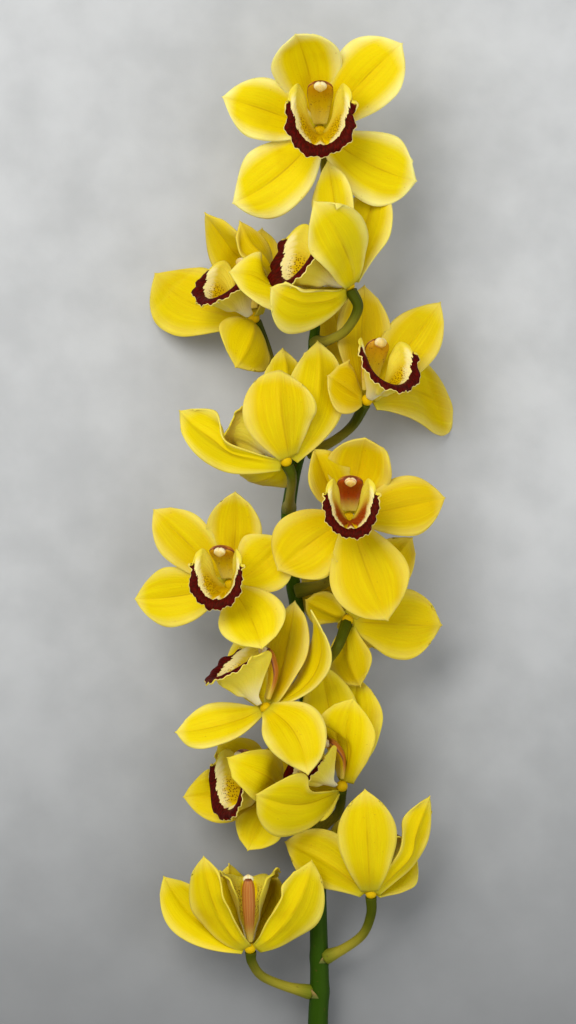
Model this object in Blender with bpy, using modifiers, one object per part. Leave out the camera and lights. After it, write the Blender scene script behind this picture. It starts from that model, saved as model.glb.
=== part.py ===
"""A cut cymbidium orchid stem, laid on its back: one green stem that carries thirteen yellow blooms.

The blooms are laid out on a flat plan seen from straight above, in plan units of half a millimetre, with x to
the right and y down the stem. Heights above the surface are in millimetres. +Y runs along the stem to its tip.
"""

import math
from dataclasses import dataclass
from dataclasses import field

import bmesh
import bpy
import numpy as np
from mathutils import Vector

MM = 0.001
NAME = "cymbidium_orchid_stem"

# The plan, and the point above it that its shapes were judged from
UNIT = 0.5
PLAN_ORIGIN = (295.6, 638.0)
PLAN_MIDDLE = (288.0, 512.0)
EYE_HEIGHT = 2500.0
EYE_LEVEL = 50.0

# Sheets
TEPAL_THICK = 1.0
LIP_THICK = 1.0
TEPAL_ROWS = 5
TEPAL_COLUMNS = 4
LIP_ROWS = 6
LIP_COLUMNS = 6
CLEAR_OF_SURFACE = 3.0
TEPAL_FOOT = 0.17
TEPAL_SWELL = 1.15
TEPAL_ROUNDING = math.radians(42.0)
CUP_AT_FOOT = 1.25
CUP_LOSS = 0.5

# Flower parts
HUB_RADIUS = 4.2
LIP_SEAT = 3.85
GAP = 0.3
ROOT_DEPTH = 2.8
COLUMN_LENGTH = 30.0
COLUMN_ANGLE = math.radians(35.0)
COLUMN_RADII = (1.8, 2.4, 2.9, 3.4, 3.4)
COLUMN_FLAT = 1.6
CAP_RADIUS = 3.6
CAP_SQUASH = (1.15, 0.8, 0.9)
COLUMN_START = 0.3
COLUMN_LIFT = 0.4
COLUMN_ARCH = 2.6
CAP_AHEAD = 0.6

# The lip from its root to its rim: forward, radius of its trough, height of its side walls
LIP_LINE = (
    (0.0, 2.2, 0.0),
    (5.0, 4.0, 1.0),
    (10.0, 6.0, 6.5),
    (15.0, 8.0, 13.5),
    (19.0, 10.0, 16.5),
    (22.5, 12.0, 14.0),
    (24.5, 14.0, 8.5),
    (25.0, 16.2, 7.5),
    (24.0, 18.0, 7.5),
)
LIP_RISE = 1.0
LIP_SINK = 0.5
LIP_FLARE = 0.24
LIP_NARROWING = 0.12

# How far from its own axis, at each distance forward, a bloom's tepals keep clear of its lip and column
CLEAR_TILT = math.radians(10.0)
CLEAR_LINE = (
    (0.5, 0.0),
    (2.6, 5.6),
    (6.0, 8.5),
    (10.0, 12.5),
    (15.0, 18.0),
    (20.0, 21.9),
    (28.0, 22.2),
    (35.0, 17.5),
    (40.0, 10.0),
    (44.0, 0.0),
)

# Stem: plan x, plan y, height, radius
STEM_LINE = (
    (322.0, 1224.0, 5.6, 5.6),
    (321.0, 1150.0, 6.4, 5.4),
    (319.5, 1080.0, 8.6, 5.2),
    (318.0, 1024.0, 11.2, 5.1),
    (319.5, 990.0, 13.2, 4.9),
    (319.0, 950.0, 15.4, 4.6),
    (318.0, 900.0, 18.0, 4.3),
    (317.0, 830.0, 21.5, 4.0),
    (310.0, 760.0, 24.5, 3.8),
    (306.0, 690.0, 27.0, 3.7),
    (297.0, 610.0, 29.5, 3.6),
    (290.0, 560.0, 30.8, 3.5),
    (288.0, 520.0, 31.6, 3.5),
    (293.0, 480.0, 32.2, 3.3),
    (302.0, 440.0, 32.8, 3.0),
    (310.0, 380.0, 33.4, 2.7),
    (315.0, 330.0, 33.8, 2.5),
    (321.0, 260.0, 34.4, 2.3),
    (327.0, 200.0, 36.0, 2.2),
    (327.0, 180.0, 38.0, 2.3),
)
STEM_STEPS = 26
STALK_STEPS = 7
STALK_RADII = (3.0, 2.5, 2.3, 2.5, 2.9)
STEM_SIDES = 8
STALK_SIDES = 6
COLUMN_SIDES = 6
BALL_SEGMENTS = 8
BALL_RINGS = 5
SAME_POINT = 1e-6

YELLOW = (0.775, 0.584, 0.004)
LIP_COLOUR = (0.80, 0.60, 0.08)
COLUMN_COLOUR = (0.62, 0.36, 0.05)
GREEN = (0.045, 0.10, 0.006)


@dataclass
class Tepal:
    """One sepal or petal: tip on the plan with its height, width in mm, and the way its inner face looks."""

    tip: tuple
    width: float
    face: tuple
    bow: tuple = (0.0, 0.0)
    side: float = 0.0
    cup: float = 0.35
    crease: float = 0.0
    widest: float = 0.58
    point: float = 0.9
    rests: bool = False


@dataclass
class Bloom:
    """A bloom: its base, the way its lip points, the way to its top sepal, its tepals and its stalk's path."""

    hub: tuple
    forward: tuple
    up: tuple
    tepals: tuple
    stalk: tuple = field(default_factory=tuple)
    lip_size: float = 1.0
    lip_width: float = 1.0


BLOOMS = (
    Bloom(
        hub=(320, 131, 46),
        forward=(0.0, 0.12, 0.99),
        up=(0.0, 1.0, 0.0),
        tepals=(
            Tepal((296, 36, 76), 35, (0.1, -0.4, 0.9), (-0.2, -0.2), 0.05, 0.55, widest=0.66),
            Tepal((402, 44, 62), 36, (-0.25, -0.1, 0.96), (0.06, 0.06), -0.04, 0.3, widest=0.66),
            Tepal((223, 97, 56), 31, (0.15, 0.0, 1.0), (0.06, 0.06), 0.02, 0.3),
            Tepal((233, 203, 44), 37, (0.1, 0.3, 0.95), (0.1, 0.1), -0.13, 0.3),
            Tepal((416, 181, 46), 37, (-0.1, 0.3, 0.95), (0.1, 0.1), 0.12, 0.3, widest=0.66),
        ),
        stalk=((327, 184, 38), (325, 166, 37), (322, 148, 38)),
        lip_size=1.1,
        lip_width=0.9,
    ),
    Bloom(
        hub=(349, 286, 58),
        forward=(-0.78, 0.47, 0.41),
        up=(0.4, 0.88, -0.25),
        tepals=(
            Tepal((327, 162, 60), 32, (-0.75, -0.1, 0.65), (0.05, 0.0), 0.0, 0.4),
            Tepal((379, 188, 42), 30, (-0.4, -0.1, 0.85), (0.1, 0.1), 0.0, 0.4),
            Tepal((314, 202, 98), 34, (-0.5, 0.3, -0.8), (-0.2, -0.25), 0.0, 0.5),
            Tepal((271, 288, 86), 36, (-0.1, 0.34, -0.92), (-0.1, -0.1), 0.17, 0.37),
            Tepal((230, 272, 70), 34, (0.1, 0.3, 0.95), (0.0, 0.0), 0.0, 0.3),
        ),
        stalk=((316, 343, 34), (329, 340, 47), (346, 330, 56), (358, 308, 59)),
        lip_size=1.2,
    ),
    Bloom(
        hub=(254, 318, 32),
        forward=(-0.55, 0.65, 0.5),
        up=(0.5, 0.6, -0.5),
        tepals=(
            Tepal((206, 213, 34), 30, (-0.6, -0.38, 0.65), (-0.1, -0.1), 0.0, 0.4),
            Tepal((240, 222, 54), 24, (-0.5, -0.1, -0.85), (-0.15, -0.2), 0.0, 0.4),
            Tepal((262, 229, 24), 24, (-0.4, 0.2, 0.85), (0.0, 0.0), 0.0, 0.3),
            Tepal((156, 275, -12), 39, (0.15, 0.1, 0.98), (0.14, -0.04), -0.12, 0.1, rests=True),
            Tepal((236, 367, 56), 36, (-0.2, 0.35, -0.9), (-0.2, -0.2), 0.0, 0.5),
        ),
        stalk=((305, 432, 34), (280, 392, 32), (267, 350, 23)),
    ),
    Bloom(
        hub=(367, 400, 48),
        forward=(0.38, 0.6, 0.7),
        up=(-0.1, 0.9, -0.4),
        tepals=(
            Tepal((364, 286, 42), 30, (0.3, -0.2, 0.92), (-0.1, -0.1), 0.0, 0.5),
            Tepal((330, 302, 12), 32, (0.1, 0.1, 0.98), (-0.08, -0.08), 0.0, 0.1),
            Tepal((440, 303, 34), 28, (-0.3, -0.1, 0.95), (0.0, 0.0), 0.0, 0.3),
            Tepal((450, 406, -16), 48, (-0.2, 0.2, 0.95), (0.14, -0.02), -0.09, 0.1, widest=0.62, point=0.42, rests=True),
            Tepal((328, 376, 62), 30, (0.2, 0.4, 0.85), (0.1, 0.1), -0.06, 0.4),
        ),
        stalk=((307, 452, 34), (330, 443, 37), (352, 426, 38)),
        lip_size=1.05,
        lip_width=0.88,
    ),
    Bloom(
        hub=(286, 461, 72),
        forward=(-0.6, 0.65, -0.45),
        up=(0.5, 0.7, 0.2),
        tepals=(
            Tepal((280, 372, 74), 38, (-0.25, 0.1, -0.95), (-0.25, -0.2), 0.1, 0.45, widest=0.52, point=0.55),
            Tepal((282, 350, 48), 26, (-0.4, -0.2, -0.9), (-0.1, -0.1), 0.0, 0.4),
            Tepal((318, 341, 52), 31, (-0.3, 0.1, -0.93), (-0.1, -0.1), -0.1, 0.4),
            Tepal((179, 411, 56), 28, (-0.1, 0.4, -0.9), (-0.1, -0.1), 0.08, 0.4),
            Tepal((248, 482, 46), 28, (-0.2, 0.5, -0.8), (-0.1, -0.1), 0.0, 0.4),
        ),
        stalk=((289, 508, 35), (290, 498, 50), (292, 478, 68)),
    ),
    Bloom(
        hub=(349, 518, 60),
        forward=(0.03, 0.2, 0.97),
        up=(0.0, 1.0, 0.0),
        tepals=(
            Tepal((365, 439, 72), 33, (-0.1, -0.4, 0.9), (-0.2, -0.2), 0.0, 0.5, point=0.6),
            Tepal((313, 449, 66), 24, (0.6, -0.1, 0.8), (-0.1, -0.05), 0.0, 0.3, crease=0.35),
            Tepal((445, 498, 54), 30, (-0.1, 0.0, 1.0), (0.06, 0.06), 0.0, 0.3),
            Tepal((278, 570, 66), 37, (0.3, 0.2, 0.93), (0.1, 0.1), 0.05, 0.3),
            Tepal((388, 620, 64), 40, (0.0, 0.3, 0.95), (0.1, 0.1), 0.04, 0.3),
        ),
        stalk=((297, 591, 32), (325, 583, 38), (343, 560, 44), (348, 538, 50)),
        lip_size=0.9,
        lip_width=0.86,
    ),
    Bloom(
        hub=(230, 585, 52),
        forward=(-0.25, 0.14, 0.95),
        up=(0.05, 0.95, -0.15),
        tepals=(
            Tepal((235, 493, 62), 28, (-0.2, -0.4, 0.9), (-0.15, -0.15), 0.0, 0.5),
            Tepal((154, 510, 44), 27, (0.2, -0.1, 0.95), (0.05, 0.05), 0.0, 0.3),
            Tepal((284, 538, 58), 32, (-0.3, -0.1, 0.9), (0.05, 0.05), 0.1, 0.3),
            Tepal((136, 599, 40), 30, (0.15, 0.1, 0.98), (0.08, 0.08), -0.05, 0.3),
            Tepal((262, 649, 77), 34, (0.0, 0.2, 0.97), (0.05, 0.05), -0.06, 0.3),
        ),
        stalk=((301, 642, 29), (270, 634, 33), (244, 618, 36), (229, 598, 42)),
        lip_size=0.9,
        lip_width=0.86,
    ),
    Bloom(
        hub=(348, 620, 42),
        forward=(0.35, 0.1, -0.93),
        up=(0.3, 0.9, 0.2),
        tepals=(
            Tepal((412, 538, 34), 26, (0.2, -0.1, -0.95), (-0.1, -0.1), 0.0, 0.3),
            Tepal((441, 625, 36), 36, (0.1, 0.1, -0.98), (-0.1, -0.1), 0.0, 0.35),
            Tepal((360, 686, 44), 24, (0.4, 0.2, -0.85), (-0.1, -0.1), -0.1, 0.35),
            Tepal((306, 600, 44), 20, (0.1, 0.5, -0.85), (-0.1, -0.1), 0.0, 0.3),
            Tepal((303, 580, 22), 26, (0.2, 0.1, -0.95), (0.0, 0.0), 0.0, 0.3),
        ),
        stalk=((308, 690, 28), (323, 667, 37), (337, 648, 54)),
    ),
    Bloom(
        hub=(266, 708, 56),
        forward=(-0.54, 0.78, 0.2),
        up=(0.8, 0.55, -0.1),
        tepals=(
            Tepal((295, 602, 46), 29, (-0.6, -0.1, 0.75), (-0.05, -0.05), 0.0, 0.4),
            Tepal((236, 640, 34), 24, (-0.3, 0.1, 0.9), (0.0, 0.0), 0.0, 0.3),
            Tepal((311, 611, 72), 24, (-0.85, 0.3, 0.4), (-0.4, -0.36), 0.0, 0.3),
            Tepal((176, 732, 50), 26, (0.1, 0.5, 0.8), (0.0, 0.0), -0.08, 0.3),
            Tepal((308, 774, 80), 32, (0.1, 0.3, 0.93), (0.16, 0.15), -0.12, 0.3, widest=0.46),
        ),
        stalk=((310, 733, 26), (290, 728, 34), (274, 718, 44)),
    ),
    Bloom(
        hub=(342, 786, 46),
        forward=(-0.72, 0.5, 0.45),
        up=(0.65, 0.75, -0.1),
        tepals=(
            Tepal((358, 678, 36), 32, (-0.3, -0.1, 0.95), (0.0, 0.0), 0.0, 0.3),
            Tepal((353, 699, 64), 32, (-0.35, 0.0, 0.93), (0.1, 0.1), -0.04, 0.4),
            Tepal((320, 664, 47), 28, (0.2, -0.1, 0.95), (0.0, 0.0), 0.0, 0.3),
            Tepal((257, 795, 70), 40, (0.0, -0.5, 0.86), (0.14, 0.12), -0.1, 0.1),
            Tepal((300, 806, 40), 24, (0.2, 0.3, 0.9), (0.0, 0.0), 0.0, 0.3),
        ),
        stalk=((317, 830, 23), (338, 813, 31)),
        lip_size=0.87,
    ),
    Bloom(
        hub=(276, 790, 32),
        forward=(-0.85, 0.1, 0.5),
        up=(0.1, 0.95, 0.1),
        tepals=(
            Tepal((218, 742, 26), 22, (0.0, -0.1, 0.95), (0.0, 0.0), 0.0, 0.3),
            Tepal((228, 758, 64), 30, (-0.2, 0.1, -0.95), (-0.22, -0.26), 0.0, 0.4, widest=0.5),
            Tepal((184, 797, 24), 28, (0.2, 0.1, 0.97), (0.05, 0.05), 0.0, 0.3),
            Tepal((248, 850, 40), 24, (-0.1, 0.3, 0.95), (0.1, 0.1), 0.0, 0.3),
            Tepal((284, 744, 14), 22, (-0.1, 0.1, 0.95), (0.0, 0.0), 0.0, 0.3),
        ),
        stalk=((315, 838, 23), (300, 822, 26), (288, 802, 28)),
    ),
    Bloom(
        hub=(250, 948, 34),
        forward=(-0.02, 0.98, -0.15),
        up=(0.0, 0.0, 1.0),
        tepals=(
            Tepal((204, 857, 50), 30, (0.4, 0.2, -0.9), (-0.15, -0.1), 0.08, 0.5),
            Tepal((164, 877, 28), 26, (0.4, 0.1, 0.9), (-0.1, -0.1), -0.1, 0.3),
            Tepal((232, 865, 14), 22, (0.0, 0.2, 0.95), (-0.1, -0.1), 0.0, 0.3),
            Tepal((273, 872, 14), 24, (0.0, 0.2, 0.95), (-0.1, -0.1), 0.0, 0.3),
            Tepal((311, 861, 44), 31, (-0.4, 0.2, -0.85), (-0.18, -0.1), -0.09, 0.5),
        ),
        stalk=((310, 992, 14), (285, 986, 19), (262, 976, 25), (252, 962, 31)),
        lip_size=1.35,
        lip_width=0.62,
    ),
    Bloom(
        hub=(371, 893, 38),
        forward=(0.12, 0.98, -0.15),
        up=(0.1, 0.0, -1.0),
        tepals=(
            Tepal((365, 790, 60), 32, (0.0, 0.2, -0.95), (-0.2, -0.15), 0.0, 0.6),
            Tepal((430, 797, 36), 20, (-0.5, 0.1, -0.85), (-0.1, -0.1), 0.0, 0.4),
            Tepal((413, 852, 18), 22, (-0.2, 0.2, 0.95), (-0.1, -0.1), 0.0, 0.3),
            Tepal((286, 842, 32), 30, (0.2, 0.2, -0.95), (-0.1, -0.1), -0.1, 0.4),
            Tepal((338, 819, 14), 24, (0.0, 0.2, 0.95), (-0.1, -0.1), 0.0, 0.3),
        ),
        stalk=((326, 957, 17), (345, 948, 22), (363, 934, 29), (371, 914, 34)),
    ),
)


def unit(vector):
    """The vector at length one."""
    vector = np.asarray(vector, float)
    return vector / np.linalg.norm(vector)


def square_to(vector, axis):
    """The part of a vector that is square to an axis, at length one."""
    vector = np.asarray(vector, float)
    return unit(vector - axis * np.dot(vector, axis))


def place(x, y, height):
    """A point of the plan at a height, in mm, on the line from the eye above the plan's middle."""
    nearer = 1.0 - (height - EYE_LEVEL) / EYE_HEIGHT
    east = (PLAN_MIDDLE[0] - PLAN_ORIGIN[0]) * UNIT + (x - PLAN_MIDDLE[0]) * UNIT * nearer
    north = (PLAN_ORIGIN[1] - PLAN_MIDDLE[1]) * UNIT - (y - PLAN_MIDDLE[1]) * UNIT * nearer
    return np.array((east, north, height))


def smooth_path(points, steps):
    """Points spaced along a Catmull-Rom curve through the given ones; each may carry more values, such as a radius."""
    points = np.asarray(points, float)
    if len(points) == 2:
        return np.linspace(points[0], points[1], steps + 1)
    ends = np.vstack((2 * points[0] - points[1], points, 2 * points[-1] - points[-2]))
    spans = len(points) - 1
    path = []
    for step in range(steps + 1):
        along = min(step / steps * spans, spans - 1e-9)
        first = int(along)
        t = along - first
        a, b, c, d = ends[first : first + 4]
        path.append(
            0.5
            * (
                2 * b
                + (c - a) * t
                + (2 * a - 5 * b + 4 * c - d) * t**2
                + (3 * b - a - 3 * c + d) * t**3
            )
        )
    return np.array(path)


def outline(u, widest, point):
    """How wide a tepal is at u of its length, as a share of its full width."""
    swell = np.sin(np.clip(u / widest, 0, 1) * math.pi / 2) ** TEPAL_SWELL
    low = TEPAL_FOOT + (1 - TEPAL_FOOT) * swell
    high = np.clip(1 - np.clip((u - widest) / (1 - widest), 0, 1) ** 2.0, 0, 1) ** point
    return np.where(u < widest, low, high)


def tepal_point(tepal, start, tip, inner, r, v):
    """The point of a tepal's middle surface at r of its length and v across it, from -1 to 1."""
    chord = tip - start
    length = np.linalg.norm(chord)
    along = chord / length
    normal = square_to(inner, along)
    across = np.cross(along, normal)
    one = start + chord / 3 + (normal * tepal.bow[0] + across * tepal.side) * length
    two = start + chord * 2 / 3 + (normal * tepal.bow[1] + across * tepal.side) * length

    u = r * (tepal.widest + (1 - tepal.widest) * math.cos(v * TEPAL_ROUNDING))
    edge = r * (tepal.widest + (1 - tepal.widest) * math.cos(TEPAL_ROUNDING))
    at_rim = r**4
    share = v * (1 - at_rim) * float(outline(edge, tepal.widest, tepal.point))
    share += math.copysign(at_rim, v) * float(outline(u, tepal.widest, tepal.point)) if v else 0.0

    left = 1 - u
    spot = left**3 * start + 3 * left**2 * u * one + 3 * left * u**2 * two + u**3 * tip
    slope = 3 * left**2 * (one - start) + 6 * left * u * (two - one) + 3 * u**2 * (tip - two)
    ahead = unit(slope)
    turned = square_to(normal, ahead)
    sideways = np.cross(ahead, turned)
    half = tepal.width / 2
    bend = tepal.cup * (CUP_AT_FOOT - CUP_LOSS * u)
    lateral = half * share
    rise = 0.0
    if abs(bend) > 1e-6:
        rise = half * (1 - math.cos(bend * share)) / bend
        lateral = half * math.sin(bend * share) / bend
    rise += tepal.crease * abs(lateral)
    return spot + sideways * lateral + turned * rise


def along_line(line, share):
    """Values at a share of the way along a table whose rows are evenly spaced, on a smooth curve."""
    line = np.asarray(line, float)
    ends = np.vstack((2 * line[0] - line[1], line, 2 * line[-1] - line[-2]))
    along = min(max(share, 0.0), 1.0 - 1e-9) * (len(line) - 1)
    first = int(along)
    t = along - first
    a, b, c, d = ends[first : first + 4]
    return 0.5 * (2 * b + (c - a) * t + (2 * a - 5 * b + 4 * c - d) * t**2 + (3 * b - a - 3 * c + d) * t**3)


def lip_point(size, r, v):
    """The lip's surface at r of its length and v across: right, up and forward of its root, in mm."""
    s = r * (1 - LIP_NARROWING * v**4)
    ahead, radius, wall = along_line(LIP_LINE, s)
    arc = radius * math.pi / 2
    reach = abs(v) * (arc + wall)
    if reach < arc:
        lateral = radius * math.sin(reach / radius)
        above = -radius * math.cos(reach / radius)
    else:
        lateral = radius + LIP_FLARE * (reach - arc)
        above = reach - arc
    above += LIP_RISE * s - LIP_SINK
    return math.copysign(lateral, v) * size if v else 0.0, above * size, ahead * size


def keep_clear(spot, hub, axis, right, way, bloom):
    """Moves a point of a tepal along one way until it is clear of the lip and column of its own bloom."""
    ahead = float(np.dot(spot - hub, axis))
    limit = bloom.lip_size * float(np.interp(ahead / bloom.lip_size, *zip(*CLEAR_LINE)))
    widened = 1 / bloom.lip_width - 1
    beside = spot - hub - axis * ahead
    beside = beside + right * np.dot(beside, right) * widened
    step = way + right * np.dot(way, right) * widened
    outside = float(np.dot(beside, beside)) - limit**2
    if outside >= 0:
        return spot
    pace = float(np.dot(step, step))
    towards = float(np.dot(beside, step))
    return spot + way * (math.sqrt(towards**2 - pace * outside) - towards) / pace


def in_parts(name, mesh, collection):
    """A new object of this mesh in a collection."""
    mesh.name = name
    obj = bpy.data.objects.new(name, mesh)
    collection.objects.link(obj)
    return obj


def settle(obj):
    """Replaces an object's mesh by what its modifiers make of it."""
    graph = bpy.context.evaluated_depsgraph_get()
    mesh = bpy.data.meshes.new_from_object(obj.evaluated_get(graph))
    obj.modifiers.clear()
    obj.data = mesh


def sheet(name, points, rows, columns, thick, collection):
    """A closed sheet of even thickness through a grid of points in mm, split alike on both of its faces."""
    mesh = bpy.data.meshes.new(name)
    grid = bmesh.new()
    bmesh.ops.create_grid(grid, x_segments=columns, y_segments=rows, size=1.0)
    for vertex in grid.verts:
        row = round((vertex.co.y + 1) / 2 * rows)
        column = round((vertex.co.x + 1) / 2 * columns)
        vertex.co = Vector(points[row][column]) * MM
    bmesh.ops.triangulate(grid, faces=grid.faces[:])
    grid.to_mesh(mesh)
    grid.free()
    obj = in_parts(name, mesh, collection)
    solidify = obj.modifiers.new("Thickness", "SOLIDIFY")
    solidify.thickness = thick * MM
    solidify.offset = 0.0
    settle(obj)
    turn_out(obj.data)
    return obj


def turn_out(mesh):
    """Points every face of a closed mesh outwards."""
    shape = bmesh.new()
    shape.from_mesh(mesh)
    bmesh.ops.recalc_face_normals(shape, faces=shape.faces[:])
    shape.to_mesh(mesh)
    shape.free()


def tube(name, path, radii, sides, collection):
    """A round tube along points in mm, with a radius at each and flat ends."""
    curve = bpy.data.curves.new(name, "CURVE")
    curve.dimensions = "3D"
    curve.bevel_depth = MM
    curve.bevel_resolution = (sides - 4) // 2
    curve.use_fill_caps = True
    spline = curve.splines.new("POLY")
    spline.points.add(len(path) - 1)
    for point, spot, radius in zip(spline.points, path, radii):
        point.co = (*(Vector(spot) * MM), 1.0)
        point.radius = radius
    guide = bpy.data.objects.new(name + "_line", curve)
    collection.objects.link(guide)
    graph = bpy.context.evaluated_depsgraph_get()
    mesh = bpy.data.meshes.new_from_object(guide.evaluated_get(graph))
    bpy.data.objects.remove(guide)
    bpy.data.curves.remove(curve)
    shape = bmesh.new()
    shape.from_mesh(mesh)
    bmesh.ops.remove_doubles(shape, verts=shape.verts[:], dist=SAME_POINT)
    bmesh.ops.recalc_face_normals(shape, faces=shape.faces[:])
    shape.to_mesh(mesh)
    shape.free()
    return in_parts(name, mesh, collection)


def ball(name, centre, radius, axes, squash, collection):
    """A low round ball in mm, squashed along three axes."""
    mesh = bpy.data.meshes.new(name)
    shape = bmesh.new()
    bmesh.ops.create_uvsphere(shape, u_segments=BALL_SEGMENTS, v_segments=BALL_RINGS, radius=radius * MM)
    for vertex in shape.verts:
        spot = Vector(centre) * MM
        for value, axis, factor in zip(vertex.co, axes, squash):
            spot += Vector(axis) * value * factor
        vertex.co = spot
    bmesh.ops.recalc_face_normals(shape, faces=shape.faces[:])
    shape.to_mesh(mesh)
    shape.free()
    return in_parts(name, mesh, collection)


def keep_largest(mesh):
    """Leaves only the biggest closed shell of a mesh, without the scraps and the hollows that fusing seals."""
    shape = bmesh.new()
    shape.from_mesh(mesh)
    shells = []
    seen = set()
    for start in shape.verts:
        if start in seen:
            continue
        shell = [start]
        seen.add(start)
        for vertex in shell:
            for edge in vertex.link_edges:
                other = edge.other_vert(vertex)
                if other not in seen:
                    seen.add(other)
                    shell.append(other)
        shells.append(shell)
    shells.sort(key=len)
    for shell in shells[:-1]:
        bmesh.ops.delete(shape, geom=shell, context="VERTS")
    shape.to_mesh(mesh)
    shape.free()


def fuse(base, pieces, name, material):
    """One solid of a base and the pieces that grow from it, under the name and with the material given."""
    union = base.modifiers.new("Grown together", "BOOLEAN")
    union.operation = "UNION"
    union.operand_type = "COLLECTION"
    union.collection = pieces
    union.solver = "EXACT"
    settle(base)
    keep_largest(base.data)
    for piece in list(pieces.objects):
        bpy.data.objects.remove(piece)
    bpy.data.collections.remove(pieces)
    base.name = name
    base.data.name = name
    base.data.materials.clear()
    base.data.materials.append(material)
    for polygon in base.data.polygons:
        polygon.use_smooth = True
    return base


def coat(name, colour, roughness):
    """A plain material."""
    material = bpy.data.materials.new(name)
    material.use_nodes = True
    surface = material.node_tree.nodes["Principled BSDF"]
    surface.inputs["Base Color"].default_value = (*colour, 1.0)
    surface.inputs["Roughness"].default_value = roughness
    surface.inputs["Metallic"].default_value = 0.0
    return material


def working(name):
    """A collection that holds pieces until they are fused."""
    collection = bpy.data.collections.new(name)
    bpy.context.scene.collection.children.link(collection)
    return collection


def build_tepals(bloom, name, parts, material):
    """The five tepals of a bloom, grown together at its base."""
    hub, right, up, forward = frame_of(bloom)
    axis = forward * math.cos(CLEAR_TILT) + up * math.sin(CLEAR_TILT)
    pieces = working(name + "_pieces")
    for number, tepal in enumerate(bloom.tepals):
        tip = place(*tepal.tip)
        start = hub + square_to(tip - hub, axis) * ROOT_DEPTH
        inner = unit(tepal.face)
        middle = tepal_point(tepal, start, tip, inner, 0.5, 0.0)
        way = square_to(middle - hub, axis)
        points = []
        for row in range(TEPAL_ROWS + 1):
            line = []
            for column in range(TEPAL_COLUMNS + 1):
                spot = tepal_point(tepal, start, tip, inner, row / TEPAL_ROWS, 2 * column / TEPAL_COLUMNS - 1)
                spot = keep_clear(spot, hub, axis, right, way, bloom)
                spot[2] = max(spot[2], TEPAL_THICK / 2 if tepal.rests else CLEAR_OF_SURFACE)
                line.append(spot)
            points.append(line)
        sheet(f"{name}_{number}", points, TEPAL_ROWS, TEPAL_COLUMNS, TEPAL_THICK, pieces)
    base = ball(name, hub, HUB_RADIUS, (right, up, forward), (1, 1, 1), parts)
    fuse(base, pieces, name, material)


def frame_of(bloom):
    """A bloom's base with its rightward, upward and forward ways."""
    forward = unit(bloom.forward)
    up = square_to(bloom.up, forward)
    right = np.cross(up, forward)
    return place(*bloom.hub), right, up, forward


def build_lip(bloom, name, parts, material):
    """The lip of a bloom."""
    hub, right, up, forward = frame_of(bloom)
    root = hub + forward * LIP_SEAT
    points = []
    for row in range(LIP_ROWS + 1):
        line = []
        for column in range(LIP_COLUMNS + 1):
            x, y, z = lip_point(bloom.lip_size, row / LIP_ROWS, 2 * column / LIP_COLUMNS - 1)
            spot = root + right * x * bloom.lip_width + up * y + forward * z
            spot[2] = max(spot[2], CLEAR_OF_SURFACE)
            line.append(spot)
        points.append(line)
    lip = sheet(name, points, LIP_ROWS, LIP_COLUMNS, LIP_THICK, parts)
    lip.data.materials.append(material)
    for polygon in lip.data.polygons:
        polygon.use_smooth = True


def build_column(bloom, name, parts, material):
    """The arched column of a bloom with its anther cap."""
    hub, right, up, forward = frame_of(bloom)
    outward = forward * math.cos(COLUMN_ANGLE) + up * math.sin(COLUMN_ANGLE)
    lift = up * math.cos(COLUMN_ANGLE) - forward * math.sin(COLUMN_ANGLE)
    first = hub + outward * (HUB_RADIUS + GAP + COLUMN_START) + lift * COLUMN_LIFT
    last = hub + outward * COLUMN_LENGTH * bloom.lip_size
    middle = (first + last) / 2 + lift * COLUMN_ARCH
    path = smooth_path((first, middle, last), len(COLUMN_RADII) - 1)
    base = tube(name, path, COLUMN_RADII, COLUMN_SIDES, parts)
    for vertex in base.data.vertices:
        beside = float(np.dot(np.array(vertex.co) - hub * MM, right))
        vertex.co += Vector(right) * beside * (COLUMN_FLAT - 1)
    pieces = working(name + "_pieces")
    axes = (right, lift, outward)
    ball(name + "_cap", last + outward * CAP_AHEAD - lift * COLUMN_LIFT, CAP_RADIUS, axes, CAP_SQUASH, pieces)
    fuse(base, pieces, name, material)


def build_stem(parts, material):
    """The stem, with the thirteen flower stalks that grow from it."""
    line = []
    for x, y, height, radius in STEM_LINE:
        line.append((*place(x, y, height), radius))
    path = smooth_path(line, STEM_STEPS)
    base = tube("stem", path[:, :3], path[:, 3], STEM_SIDES, parts)
    pieces = working("stem_pieces")
    for number, bloom in enumerate(BLOOMS, 1):
        spots = [place(*spot) for spot in bloom.stalk]
        hub = place(*bloom.hub)
        arriving = unit(spots[-1] - hub)
        spots.append(hub + arriving * (HUB_RADIUS + GAP))
        stalk = smooth_path(spots, STALK_STEPS)
        share = np.linspace(0, 1, STALK_STEPS + 1)
        radii = np.interp(share, np.linspace(0, 1, len(STALK_RADII)), STALK_RADII)
        tube(f"stalk_{number:02d}", stalk, radii, STALK_SIDES, pieces)
    fuse(base, pieces, "stem", material)


def clear_scene():
    """Removes what the scene starts with."""
    for obj in list(bpy.data.objects):
        bpy.data.objects.remove(obj)


def main():
    """Builds the stem and every bloom."""
    clear_scene()
    parts = bpy.data.collections.new(NAME)
    bpy.context.scene.collection.children.link(parts)
    yellow = coat("tepals", YELLOW, 0.45)
    lip = coat("lip", LIP_COLOUR, 0.45)
    column = coat("column", COLUMN_COLOUR, 0.4)
    green = coat("stem", GREEN, 0.5)
    build_stem(parts, green)
    for number, bloom in enumerate(BLOOMS, 1):
        build_tepals(bloom, f"bloom_{number:02d}_tepals", parts, yellow)
        build_lip(bloom, f"bloom_{number:02d}_lip", parts, lip)
        build_column(bloom, f"bloom_{number:02d}_column", parts, column)


main()
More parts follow.
